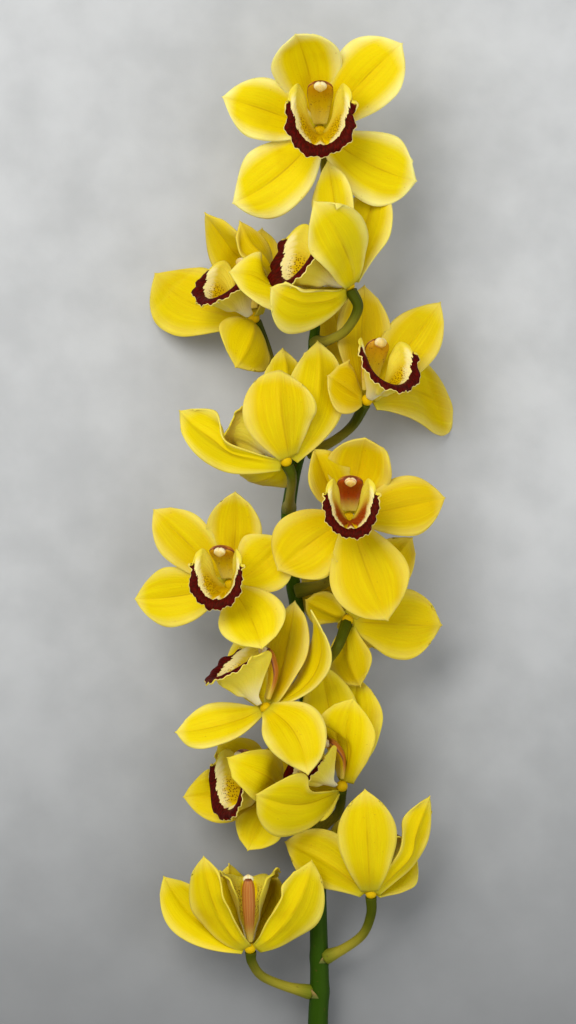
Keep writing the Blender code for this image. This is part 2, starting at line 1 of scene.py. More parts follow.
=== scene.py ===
"""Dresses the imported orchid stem, which lies on its back: fine petals and sepals, ruffled lips, arched
columns and grooved stalks in place of the plain solids, with their finishes, on a plain pale floor under
soft light.

Blooms are laid out on the same flat plan as the solids: plan units of half a millimetre, x to the right,
y down the stem, heights above the floor in millimetres.
"""

import logging
import math
from dataclasses import dataclass
from enum import Enum
from typing import Any, Optional, Sequence, Union

import bpy
import numpy as np
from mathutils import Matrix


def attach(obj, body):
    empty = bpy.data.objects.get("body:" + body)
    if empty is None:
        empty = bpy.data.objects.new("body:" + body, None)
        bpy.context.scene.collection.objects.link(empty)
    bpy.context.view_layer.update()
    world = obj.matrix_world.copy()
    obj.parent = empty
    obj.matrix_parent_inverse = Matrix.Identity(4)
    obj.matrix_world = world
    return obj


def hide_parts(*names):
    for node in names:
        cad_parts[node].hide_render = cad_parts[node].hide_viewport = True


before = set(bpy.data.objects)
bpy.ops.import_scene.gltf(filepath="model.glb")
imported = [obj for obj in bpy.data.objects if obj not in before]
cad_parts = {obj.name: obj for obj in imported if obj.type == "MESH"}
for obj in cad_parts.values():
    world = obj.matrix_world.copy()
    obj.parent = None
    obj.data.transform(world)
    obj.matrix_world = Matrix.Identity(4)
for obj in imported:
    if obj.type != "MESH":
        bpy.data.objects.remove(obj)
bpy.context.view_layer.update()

LOG = logging.getLogger("orchid_stem")
MM = 0.001
BODY = "root"

Array = np.ndarray
Object = bpy.types.Object
Material = bpy.types.Material
Socket = bpy.types.NodeSocket
Colour = tuple[float, float, float]

# The plan, and the eye above its middle
PLAN_UNIT = 0.5
PLAN_ORIGIN = (295.6, 638.0)
PLAN_MIDDLE = (288.0, 512.0)
PLAN_HEIGHT = 1024.0
EYE_HEIGHT = 2500.0
EYE_LEVEL = 50.0
SENSOR = 24.0

# Sheets that match the solids
COARSE_ROWS = 5
COARSE_COLUMNS = 4
CLEAR_OF_FLOOR = 3.0
TEPAL_FOOT = 0.27
TEPAL_SWELL = 1.15
TEPAL_ROUNDING = math.radians(42.0)
CUP_AT_FOOT = 1.25
CUP_LOSS = 0.5
HUB_RADIUS = 4.2
LIP_SEAT = 3.85
ROOT_DEPTH = 2.8
GAP = 0.3

# Forward of the lip's root, radius of its trough, height of its side walls, in mm
LIP_LINE = (
    (0.0, 2.2, 0.0), (5.0, 4.0, 1.0), (10.0, 6.0, 6.5), (15.0, 8.0, 13.5), (19.0, 10.0, 16.5),
    (22.5, 12.0, 14.0), (24.5, 14.0, 8.5), (25.0, 16.2, 7.5), (24.0, 18.0, 7.5),
)
LIP_RISE = 1.0
LIP_SINK = 0.5
LIP_FLARE = 0.24
LIP_NARROWING = 0.12

# Room for a lip and its column: mm along their middle line, and the radius there
CLEAR_TILT = math.radians(10.0)
CLEAR_LINE = (
    (0.5, 0.0), (2.6, 5.6), (6.0, 8.5), (10.0, 12.5), (15.0, 18.0),
    (20.0, 21.9), (28.0, 22.2), (35.0, 17.5), (40.0, 10.0), (44.0, 0.0),
)

COLUMN_LENGTH = 30.0
COLUMN_ANGLE = math.radians(35.0)
COLUMN_START = 0.3
COLUMN_LIFT = 0.4
COLUMN_ARCH = 2.6

# Stem: plan x, plan y, height, radius
STEM_LINE = (
    (322.0, 1224.0, 5.6, 5.6), (321.0, 1150.0, 6.4, 5.4), (319.5, 1080.0, 8.6, 5.2),
    (318.0, 1024.0, 11.2, 5.1), (319.5, 990.0, 13.2, 4.9), (319.0, 950.0, 15.4, 4.6),
    (318.0, 900.0, 18.0, 4.3), (317.0, 830.0, 21.5, 4.0), (310.0, 760.0, 24.5, 3.8),
    (306.0, 690.0, 27.0, 3.7), (297.0, 610.0, 29.5, 3.6), (290.0, 560.0, 30.8, 3.5),
    (288.0, 520.0, 31.6, 3.5), (293.0, 480.0, 32.2, 3.3), (302.0, 440.0, 32.8, 3.0),
    (310.0, 380.0, 33.4, 2.7), (315.0, 330.0, 33.8, 2.5), (321.0, 260.0, 34.4, 2.3),
    (327.0, 200.0, 36.0, 2.2), (327.0, 180.0, 38.0, 2.3),
)
STALK_RADII = (3.0, 2.5, 2.3, 2.5, 2.9)

# Angles of the seeded waves, and marks that the materials read
TURN = 6.28
HALF_TURN = 3.14
MARK_NAME = "tint"
BASE_MARK = 2.0
RED_MARK = 2.0
MARK_STEP = (1.4, 1.6)
MARK_SHIFT = 7.0


# Geometry


def unit(vector: Sequence[float]) -> Array:
    """The vector at length one."""
    vector = np.asarray(vector, float)
    return vector / np.linalg.norm(vector)


def square_to(vector: Sequence[float], axis: Array) -> Array:
    """The part of a vector that is square to an axis, at length one."""
    vector = np.asarray(vector, float)
    return unit(vector - axis * np.dot(vector, axis))


def along_rows(vectors: Array) -> Array:
    """Every vector of an array at length one."""
    return vectors / np.maximum(np.linalg.norm(vectors, axis=-1, keepdims=True), 1e-12)


def place(x: float, y: float, height: float) -> Array:
    """Finds a point of the plan at a height, on the line from the eye above the plan's middle.

    Args:
        x: Plan units to the right.
        y: Plan units down the stem.
        height: Millimetres above the floor.

    Returns:
        The point in millimetres.
    """
    nearer = 1.0 - (height - EYE_LEVEL) / EYE_HEIGHT
    east = (PLAN_MIDDLE[0] - PLAN_ORIGIN[0]) * PLAN_UNIT + (x - PLAN_MIDDLE[0]) * PLAN_UNIT * nearer
    north = (PLAN_ORIGIN[1] - PLAN_MIDDLE[1]) * PLAN_UNIT - (y - PLAN_MIDDLE[1]) * PLAN_UNIT * nearer
    return np.array((east, north, height))


def net(rows: int, columns: int) -> list[Array]:
    """The share along, from 0 to 1, and across, from -1 to 1, of each point of a sheet."""
    return np.meshgrid(np.linspace(0, 1, rows + 1), np.linspace(-1, 1, columns + 1), indexing="ij")


def spline_weights(shares: Array, count: int) -> Array:
    """Weights of evenly spaced values on a smooth curve through them.

    Args:
        shares: Places along the curve, from 0 to 1.
        count: How many values the curve passes through.

    Returns:
        One row of weights for each share.
    """
    shares = np.asarray(shares, float).ravel()
    along = np.clip(shares, 0.0, 1.0 - 1e-9) * (count - 1)
    first = along.astype(int)
    t = along - first
    blend = (
        0.5 * (-t + 2 * t**2 - t**3),
        0.5 * (2 - 5 * t**2 + 3 * t**3),
        0.5 * (t + 4 * t**2 - 3 * t**3),
        0.5 * (-(t**2) + t**3),
    )
    # One more value past each end lies straight on from the last two
    padded = np.zeros((len(shares), count + 2))
    for step in range(4):
        padded[np.arange(len(shares)), first + step] += blend[step]
    weights = padded[:, 1:-1]
    weights[:, 0] += 2 * padded[:, 0]
    weights[:, 1] -= padded[:, 0]
    weights[:, -1] += 2 * padded[:, -1]
    weights[:, -2] -= padded[:, -1]
    return weights


def smooth_path(points: Sequence[Sequence[float]], steps: int) -> Array:
    """Points along a smooth curve through the given ones; each may carry more values, such as a radius."""
    points = np.asarray(points, float)
    return spline_weights(np.linspace(0, 1, steps + 1), len(points)) @ points


def ramp(values: Array, low: float, high: float) -> Array:
    """A soft step from 0 at low to 1 at high."""
    t = np.clip((np.asarray(values, float) - low) / (high - low), 0.0, 1.0)
    return t * t * (3 - 2 * t)


def hump(values: Array, width: float) -> Array:
    """A soft hump: 1 where a value is 0, and near 0 at twice the width from there."""
    return np.exp(-((values / width) ** 2))


def outline(u: Array, widest: float, point: float) -> Array:
    """How wide a petal is at u of its length, as a share of its full width."""
    swell = np.sin(np.clip(u / widest, 0, 1) * math.pi / 2) ** TEPAL_SWELL
    low = TEPAL_FOOT + (1 - TEPAL_FOOT) * swell
    high = np.clip(1 - np.clip((u - widest) / (1 - widest), 0, 1) ** 2.0, 0, 1) ** point
    return np.where(u < widest, low, high)


def grid_normals(points: Array) -> Array:
    """Unit normals of a grid of points whose rows and columns are its first two axes."""
    return along_rows(np.cross(np.gradient(points, axis=1), np.gradient(points, axis=0)))


def carried_ways(path: Array) -> tuple[Array, Array]:
    """Sideways and upward ways at each point of a path, square to it, carried along it without a twist."""
    slope = along_rows(np.gradient(path, axis=0))
    steep = abs(slope[0][2]) > 0.7
    sides = [square_to((1.0, 0.2, 0.1) if steep else (slope[0][1], -slope[0][0], 0.0), slope[0])]
    for ahead in slope[1:]:
        sides.append(square_to(sides[-1], ahead))
    return np.array(sides), np.cross(sides, slope)


# Modelling


def deselect() -> None:
    """Leaves nothing selected, in object mode."""
    if bpy.context.mode != "OBJECT":
        bpy.ops.object.mode_set(mode="OBJECT")
    bpy.ops.object.select_all(action="DESELECT")


def make_active(obj: Object) -> None:
    """Selects one object alone."""
    deselect()
    obj.select_set(True)
    bpy.context.view_layer.objects.active = obj


def coordinates(obj: Object) -> Array:
    """The corner points of an object's mesh, one row each."""
    flat = np.empty(len(obj.data.vertices) * 3)
    obj.data.vertices.foreach_get("co", flat)
    return flat.reshape(-1, 3)


def move_to(obj: Object, points: Array) -> None:
    """Puts an object's corners at points in millimetres."""
    obj.data.vertices.foreach_set("co", (points * MM).ravel())
    obj.data.update()


def add_grid(name: str, rows: int, columns: int) -> tuple[Object, tuple[Array, Array]]:
    """Adds a flat grid to shape into a sheet.

    Args:
        name: The object's name.
        rows: Faces along it.
        columns: Faces across it.

    Returns:
        The object, and for its corners the rows and the columns, which pick them from an array of the sheet.
    """
    deselect()
    bpy.ops.mesh.primitive_grid_add(x_subdivisions=columns, y_subdivisions=rows, size=2.0)
    obj = bpy.context.active_object
    obj.name = obj.data.name = name
    flat = coordinates(obj)
    row = np.rint((flat[:, 1] + 1) / 2 * rows).astype(int)
    return obj, (row, np.rint((flat[:, 0] + 1) / 2 * columns).astype(int))


def add_ball(name: str, rings: int, segments: int) -> Object:
    """Adds a ball of radius one."""
    deselect()
    bpy.ops.mesh.primitive_uv_sphere_add(segments=segments, ring_count=rings, radius=1.0)
    obj = bpy.context.active_object
    obj.name = obj.data.name = name
    return obj


def add_tube(name: str, radii: Array, segments: int) -> tuple[Object, Array, Array, Array]:
    """Adds a ball to shape into a tube along a path, closed at both ends.

    Args:
        name: The object's name.
        radii: The tube's radius at each point of the path.
        segments: Steps round it.

    Returns:
        The object, and for each corner its point of the path, its radius and its angle round the tube.
    """
    count = len(radii)
    obj = add_ball(name, count + 1, segments)
    flat = coordinates(obj)
    ring = np.rint((1 - np.arccos(np.clip(flat[:, 2], -1, 1)) / math.pi) * (count + 1)).astype(int)
    at = np.clip(ring - 1, 0, count - 1)
    pole = (ring == 0) | (ring == count + 1)
    return obj, at, np.where(pole, 0.0, radii[at]), np.arctan2(flat[:, 1], flat[:, 0])


def thicken(obj: Object, thickness: float, inner_slot: int = 0) -> None:
    """Gives a sheet its thickness in mm, half to each side.

    Args:
        obj: The sheet.
        thickness: In millimetres.
        inner_slot: How many material slots further the sheet's second face lies.
    """
    solidify = obj.modifiers.new("Thickness", "SOLIDIFY")
    solidify.thickness = thickness * MM
    solidify.offset = 0.0
    solidify.material_offset = inner_slot
    make_active(obj)
    bpy.ops.object.modifier_apply(modifier=solidify.name)


def outwards(obj: Object) -> None:
    """Turns the faces of a closed piece outwards."""
    make_active(obj)
    bpy.ops.object.mode_set(mode="EDIT")
    bpy.ops.mesh.select_all(action="SELECT")
    bpy.ops.mesh.normals_make_consistent(inside=False)
    bpy.ops.object.mode_set(mode="OBJECT")


def join(pieces: Sequence[Object], name: str) -> Object:
    """Joins several objects into the first of them, under a new name."""
    deselect()
    for piece in pieces:
        piece.select_set(True)
    bpy.context.view_layer.objects.active = pieces[0]
    bpy.ops.object.join()
    pieces[0].name = pieces[0].data.name = name
    return pieces[0]


def paint(obj: Object, *marks: Union[float, Array]) -> None:
    """Stores three numbers at each corner of a mesh, for its material to read."""
    rows = np.ones((len(obj.data.vertices), 4))
    for channel, values in enumerate(marks):
        rows[:, channel] = values
    layer = obj.data.attributes.new(MARK_NAME, "FLOAT_COLOR", "POINT")
    layer.data.foreach_set("color", rows.ravel())


def dress(obj: Object, *materials: Material) -> None:
    """Gives an object its materials."""
    obj.data.materials.clear()
    for material in materials:
        obj.data.materials.append(material)


def finish_piece(obj: Object, nodes: Sequence[str]) -> None:
    """Shades a finished piece smooth and tells the frame what it stands for.

    Args:
        obj: The piece.
        nodes: The solids that it replaces, if any.
    """
    make_active(obj)
    bpy.ops.object.shade_smooth()
    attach(obj, BODY)
    if nodes:
        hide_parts(*nodes)
    LOG.info("%s: %d faces", obj.name, len(obj.data.polygons))


# The plan of the flowers


@dataclass
class Tepal:
    """One petal or sepal: tip on the plan with its height, width in mm, and the way its inner face looks."""

    tip: tuple
    width: float
    face: tuple
    bow: tuple = (0.0, 0.0)
    side: float = 0.0
    cup: float = 0.3
    crease: float = 0.0
    widest: float = 0.58
    point: float = 0.9
    rests: bool = False

    def surface(self, start: Array, r: Array, v: Array) -> Array:
        """Finds points of the petal's middle surface.

        Args:
            start: Its root, in mm.
            r: How far along each point is, from 0 to 1.
            v: How far across, from -1 to 1.

        Returns:
            The points in mm.
        """
        tip = place(*self.tip)
        chord = tip - start
        length = np.linalg.norm(chord)
        along = chord / length
        normal = square_to(unit(self.face), along)
        across = np.cross(along, normal)
        one = start + chord / 3 + (normal * self.bow[0] + across * self.side) * length
        two = start + chord * 2 / 3 + (normal * self.bow[1] + across * self.side) * length
        reach = self.widest + (1 - self.widest) * np.cos(v * TEPAL_ROUNDING)
        edge = r * (self.widest + (1 - self.widest) * math.cos(TEPAL_ROUNDING))
        u = r * reach
        at_rim = r**4
        bent = np.abs(np.sin(v * TEPAL_ROUNDING)) / math.sin(TEPAL_ROUNDING)
        swing = np.sign(v) * bent ** (2 * self.point)
        share = outline(edge, self.widest, self.point) * (v * (1 - at_rim) + at_rim * swing)
        a = u[..., None]
        left = 1 - a
        spot = left**3 * start + 3 * left**2 * a * one + 3 * left * a**2 * two + a**3 * tip
        slope = 3 * left**2 * (one - start) + 6 * left * a * (two - one) + 3 * a**2 * (tip - two)
        ahead = along_rows(slope)
        turned = along_rows(normal - ahead * (ahead @ normal)[..., None])
        half = self.width / 2
        bend = np.maximum(self.cup * (CUP_AT_FOOT - CUP_LOSS * u), 1e-4)
        lateral = half * np.sin(bend * share) / bend
        rise = half * (1 - np.cos(bend * share)) / bend + self.crease * np.abs(lateral)
        return spot + np.cross(ahead, turned) * lateral[..., None] + turned * rise[..., None]


@dataclass
class Bloom:
    """A bloom: its base, the ways its lip and its top sepal point, its petals and its stalk's path."""

    hub: tuple
    forward: tuple
    up: tuple
    tepals: tuple
    stalk: tuple
    lip_size: float = 1.0
    lip_width: float = 1.0
    red: float = 0.0
    plain: float = 0.0
    column_width: float = 1.0
    # A deeper gold mixed into the petals, partly the bloom's own colour and partly painted shade on blooms
    # that sit in shade
    tone: float = 0.45
    # How strongly pale backlight is painted along the petal edges
    painted_backlight: float = 0.3

    def frame(self) -> tuple[Array, Array]:
        """The bloom's base, and its rightward, upward and forward ways as rows."""
        forward = unit(self.forward)
        up = square_to(self.up, forward)
        return place(*self.hub), np.stack((np.cross(up, forward), up, forward))

    def clear_axis(self) -> Array:
        """The way of the middle line of the room that the petals leave for the lip and the column."""
        up, forward = self.frame()[1][1:]
        return forward * math.cos(CLEAR_TILT) + up * math.sin(CLEAR_TILT)

    def keep_clear(self, points: Array, way: Array) -> Array:
        """Moves points along one way until they are clear of the bloom's own lip and column.

        Args:
            points: Points in mm.
            way: The way they move.

        Returns:
            The moved points.
        """
        hub, (right, _, _) = self.frame()
        axis = self.clear_axis()
        ahead = (points - hub) @ axis
        limit = self.lip_size * np.interp(ahead / self.lip_size, *zip(*CLEAR_LINE))
        widened = 1 / self.lip_width - 1
        beside = points - hub - ahead[..., None] * axis
        beside = beside + (beside @ right)[..., None] * right * widened
        step = way + right * np.dot(way, right) * widened
        outside = (beside**2).sum(-1) - limit**2
        pace = float(np.dot(step, step))
        towards = beside @ step
        shift = (np.sqrt(np.maximum(towards**2 - pace * outside, 0)) - towards) / pace
        return points + way * np.where(outside >= 0, 0.0, shift)[..., None]


# Each bloom: base, the way its lip points, the way to its top sepal, petals, then its stalk's path
BLOOMS: tuple[Bloom, ...] = (
    Bloom((320, 131, 46), (0.0, 0.12, 0.99), (0.0, 1.0, 0.0), (
        Tepal((296, 36, 76), 35, (0.1, -0.4, 0.9), (-0.2, -0.2), 0.05, 0.55, widest=0.66),
        Tepal((402, 44, 62), 36, (-0.25, -0.1, 0.96), (0.06, 0.06), -0.04, widest=0.66),
        Tepal((223, 97, 56), 31, (0.15, 0.0, 1.0), (0.06, 0.06), 0.02),
        Tepal((233, 203, 44), 37, (0.1, 0.3, 0.95), (0.1, 0.1), -0.13),
        Tepal((416, 181, 46), 37, (-0.1, 0.3, 0.95), (0.1, 0.1), 0.12, widest=0.66),
    ), ((327, 184, 38), (325, 166, 37), (322, 148, 38)),
        lip_size=1.1, lip_width=0.9, tone=0.3, painted_backlight=1.0),
    Bloom((349, 286, 58), (-0.78, 0.47, 0.41), (0.4, 0.88, -0.25), (
        Tepal((327, 162, 60), 32, (-0.75, -0.1, 0.65), (0.05, 0.0), 0.0, 0.4),
        Tepal((379, 188, 42), 30, (-0.4, -0.1, 0.85), (0.1, 0.1), 0.0, 0.4),
        Tepal((314, 202, 98), 34, (-0.5, 0.3, -0.8), (-0.2, -0.25), 0.0, 0.5),
        Tepal((271, 288, 86), 36, (-0.1, 0.34, -0.92), (-0.1, -0.1), 0.17, 0.37),
        Tepal((230, 272, 70), 34, (0.1, 0.3, 0.95)),
    ), ((316, 343, 34), (329, 340, 47), (346, 330, 56), (358, 308, 59)),
        lip_size=1.2, tone=0.15, painted_backlight=0.6),
    Bloom((254, 318, 32), (-0.55, 0.65, 0.5), (0.5, 0.6, -0.5), (
        Tepal((206, 213, 34), 30, (-0.6, -0.38, 0.65), (-0.1, -0.1), 0.0, 0.4),
        Tepal((240, 222, 54), 24, (-0.5, -0.1, -0.85), (-0.15, -0.2), 0.0, 0.4),
        Tepal((262, 229, 24), 24, (-0.4, 0.2, 0.85)),
        Tepal((156, 275, -12), 39, (0.15, 0.1, 0.98), (0.14, -0.04), -0.12, 0.1, rests=True),
        Tepal((236, 367, 56), 36, (-0.2, 0.35, -0.9), (-0.2, -0.2), 0.0, 0.5),
    ), ((305, 432, 34), (280, 392, 32), (267, 350, 23)), tone=0.55, painted_backlight=0.25),
    Bloom((367, 400, 48), (0.38, 0.6, 0.7), (-0.1, 0.9, -0.4), (
        Tepal((364, 286, 42), 30, (0.3, -0.2, 0.92), (-0.1, -0.1), 0.0, 0.5),
        Tepal((330, 302, 12), 32, (0.1, 0.1, 0.98), (-0.08, -0.08), 0.0, 0.1),
        Tepal((440, 303, 34), 28, (-0.3, -0.1, 0.95)),
        Tepal(
            (450, 406, -16), 48, (-0.2, 0.2, 0.95), (0.14, -0.02), -0.09, 0.1,
            widest=0.62, point=0.42, rests=True,
        ),
        Tepal((328, 376, 62), 30, (0.2, 0.4, 0.85), (0.1, 0.1), -0.06, 0.4),
    ), ((307, 452, 34), (330, 443, 37), (352, 426, 38)),
        lip_size=1.05, lip_width=0.88, tone=0.85, painted_backlight=0.35),
    Bloom((286, 461, 72), (-0.6, 0.65, -0.45), (0.5, 0.7, 0.2), (
        Tepal((280, 372, 74), 38, (-0.25, 0.1, -0.95), (-0.25, -0.2), 0.1, 0.45, widest=0.52, point=0.55),
        Tepal((282, 350, 48), 26, (-0.4, -0.2, -0.9), (-0.1, -0.1), 0.0, 0.4),
        Tepal((318, 341, 52), 31, (-0.3, 0.1, -0.93), (-0.1, -0.1), -0.1, 0.4),
        Tepal((179, 411, 56), 28, (-0.1, 0.4, -0.9), (-0.1, -0.1), 0.08, 0.4),
        Tepal((248, 482, 46), 28, (-0.2, 0.5, -0.8), (-0.1, -0.1), 0.0, 0.4),
    ), ((289, 508, 35), (290, 498, 50), (292, 478, 68)), tone=0.5, painted_backlight=0.4),
    Bloom((349, 518, 60), (0.03, 0.2, 0.97), (0.0, 1.0, 0.0), (
        Tepal((365, 439, 72), 33, (-0.1, -0.4, 0.9), (-0.2, -0.2), 0.0, 0.5, point=0.6),
        Tepal((313, 449, 66), 24, (0.6, -0.1, 0.8), (-0.1, -0.05), crease=0.35),
        Tepal((445, 498, 54), 30, (-0.1, 0.0, 1.0), (0.06, 0.06)),
        Tepal((278, 570, 66), 37, (0.3, 0.2, 0.93), (0.1, 0.1), 0.05),
        Tepal((388, 620, 64), 40, (0.0, 0.3, 0.95), (0.1, 0.1), 0.04),
    ), ((297, 591, 32), (325, 583, 38), (343, 560, 44), (348, 538, 50)),
        lip_size=0.9, lip_width=0.86, red=1.0, tone=0.85, painted_backlight=0.3),
    Bloom((230, 585, 52), (-0.25, 0.14, 0.95), (0.05, 0.95, -0.15), (
        Tepal((235, 493, 62), 28, (-0.2, -0.4, 0.9), (-0.15, -0.15), 0.0, 0.5),
        Tepal((154, 510, 44), 27, (0.2, -0.1, 0.95), (0.05, 0.05)),
        Tepal((284, 538, 58), 32, (-0.3, -0.1, 0.9), (0.05, 0.05), 0.1),
        Tepal((136, 599, 40), 30, (0.15, 0.1, 0.98), (0.08, 0.08), -0.05),
        Tepal((262, 649, 77), 34, (0.0, 0.2, 0.97), (0.05, 0.05), -0.06),
    ), ((301, 642, 29), (270, 634, 33), (244, 618, 36), (229, 598, 42)),
        lip_size=0.9, lip_width=0.86, tone=0.4, painted_backlight=0.4),
    Bloom((348, 620, 42), (0.35, 0.1, -0.93), (0.3, 0.9, 0.2), (
        Tepal((412, 538, 34), 26, (0.2, -0.1, -0.95), (-0.1, -0.1)),
        Tepal((441, 625, 36), 36, (0.1, 0.1, -0.98), (-0.1, -0.1), 0.0, 0.35),
        Tepal((360, 686, 44), 24, (0.4, 0.2, -0.85), (-0.1, -0.1), -0.1, 0.35),
        Tepal((306, 600, 44), 20, (0.1, 0.5, -0.85), (-0.1, -0.1)),
        Tepal((303, 580, 22), 26, (0.2, 0.1, -0.95)),
    ), ((308, 690, 28), (323, 667, 37), (337, 648, 54)), tone=0.75, painted_backlight=0.25),
    Bloom((266, 708, 56), (-0.54, 0.78, 0.2), (0.8, 0.55, -0.1), (
        Tepal((295, 602, 46), 29, (-0.6, -0.1, 0.75), (-0.05, -0.05), 0.0, 0.4),
        Tepal((236, 640, 34), 24, (-0.3, 0.1, 0.9)),
        Tepal((311, 611, 72), 24, (-0.85, 0.3, 0.4), (-0.4, -0.36)),
        Tepal((176, 732, 50), 26, (0.1, 0.5, 0.8), (0.0, 0.0), -0.08),
        Tepal((308, 774, 80), 32, (0.1, 0.3, 0.93), (0.16, 0.15), -0.12, widest=0.46),
    ), ((310, 733, 26), (290, 728, 34), (274, 718, 44)), tone=0.45, painted_backlight=0.5),
    Bloom((342, 786, 46), (-0.72, 0.5, 0.45), (0.65, 0.75, -0.1), (
        Tepal((358, 678, 36), 32, (-0.3, -0.1, 0.95)),
        Tepal((353, 699, 64), 32, (-0.35, 0.0, 0.93), (0.1, 0.1), -0.04, 0.4),
        Tepal((320, 664, 47), 28, (0.2, -0.1, 0.95)),
        Tepal((257, 795, 70), 40, (0.0, -0.5, 0.86), (0.14, 0.12), -0.1, 0.1),
        Tepal((300, 806, 40), 24, (0.2, 0.3, 0.9)),
    ), ((317, 830, 23), (338, 813, 31)), lip_size=0.87, tone=0.1, painted_backlight=0.25),
    Bloom((276, 790, 32), (-0.85, 0.1, 0.5), (0.1, 0.95, 0.1), (
        Tepal((218, 742, 26), 22, (0.0, -0.1, 0.95)),
        Tepal((228, 758, 64), 30, (-0.2, 0.1, -0.95), (-0.22, -0.26), 0.0, 0.4, widest=0.5),
        Tepal((184, 797, 24), 28, (0.2, 0.1, 0.97), (0.05, 0.05)),
        Tepal((248, 850, 40), 24, (-0.1, 0.3, 0.95), (0.1, 0.1)),
        Tepal((284, 744, 14), 22, (-0.1, 0.1, 0.95)),
    ), ((315, 838, 23), (300, 822, 26), (288, 802, 28)), tone=0.4, painted_backlight=0.2),
    Bloom((250, 948, 34), (-0.02, 0.98, -0.15), (0.0, 0.0, 1.0), (
        Tepal((204, 857, 50), 30, (0.4, 0.2, -0.9), (-0.15, -0.1), 0.08, 0.5, widest=0.47),
        Tepal((164, 877, 28), 26, (0.4, 0.1, 0.9), (-0.1, -0.1), -0.1),
        Tepal((232, 865, 14), 22, (0.0, 0.2, 0.95), (-0.1, -0.1)),
        Tepal((273, 872, 14), 24, (0.0, 0.2, 0.95), (-0.1, -0.1)),
        Tepal((311, 861, 44), 31, (-0.4, 0.2, -0.85), (-0.18, -0.1), -0.09, 0.5, widest=0.47),
    ), ((310, 992, 14), (285, 986, 19), (262, 976, 25), (252, 962, 31)),
        lip_size=1.35, lip_width=0.62, column_width=0.5, plain=1.0, tone=0.5, painted_backlight=0.3),
    Bloom((371, 893, 38), (0.12, 0.98, -0.15), (0.1, 0.0, -1.0), (
        Tepal((365, 790, 60), 32, (0.0, 0.2, -0.95), (-0.2, -0.15), 0.0, 0.6),
        Tepal((430, 797, 36), 20, (-0.5, 0.1, -0.85), (-0.1, -0.1), 0.0, 0.4),
        Tepal((413, 852, 18), 22, (-0.2, 0.2, 0.95), (-0.1, -0.1)),
        Tepal((286, 842, 32), 30, (0.2, 0.2, -0.95), (-0.1, -0.1), -0.1, 0.4),
        Tepal((338, 819, 14), 24, (0.0, 0.2, 0.95), (-0.1, -0.1)),
    ), ((326, 957, 17), (345, 948, 22), (363, 934, 29), (371, 914, 34)), tone=0.45, painted_backlight=0.3),
)


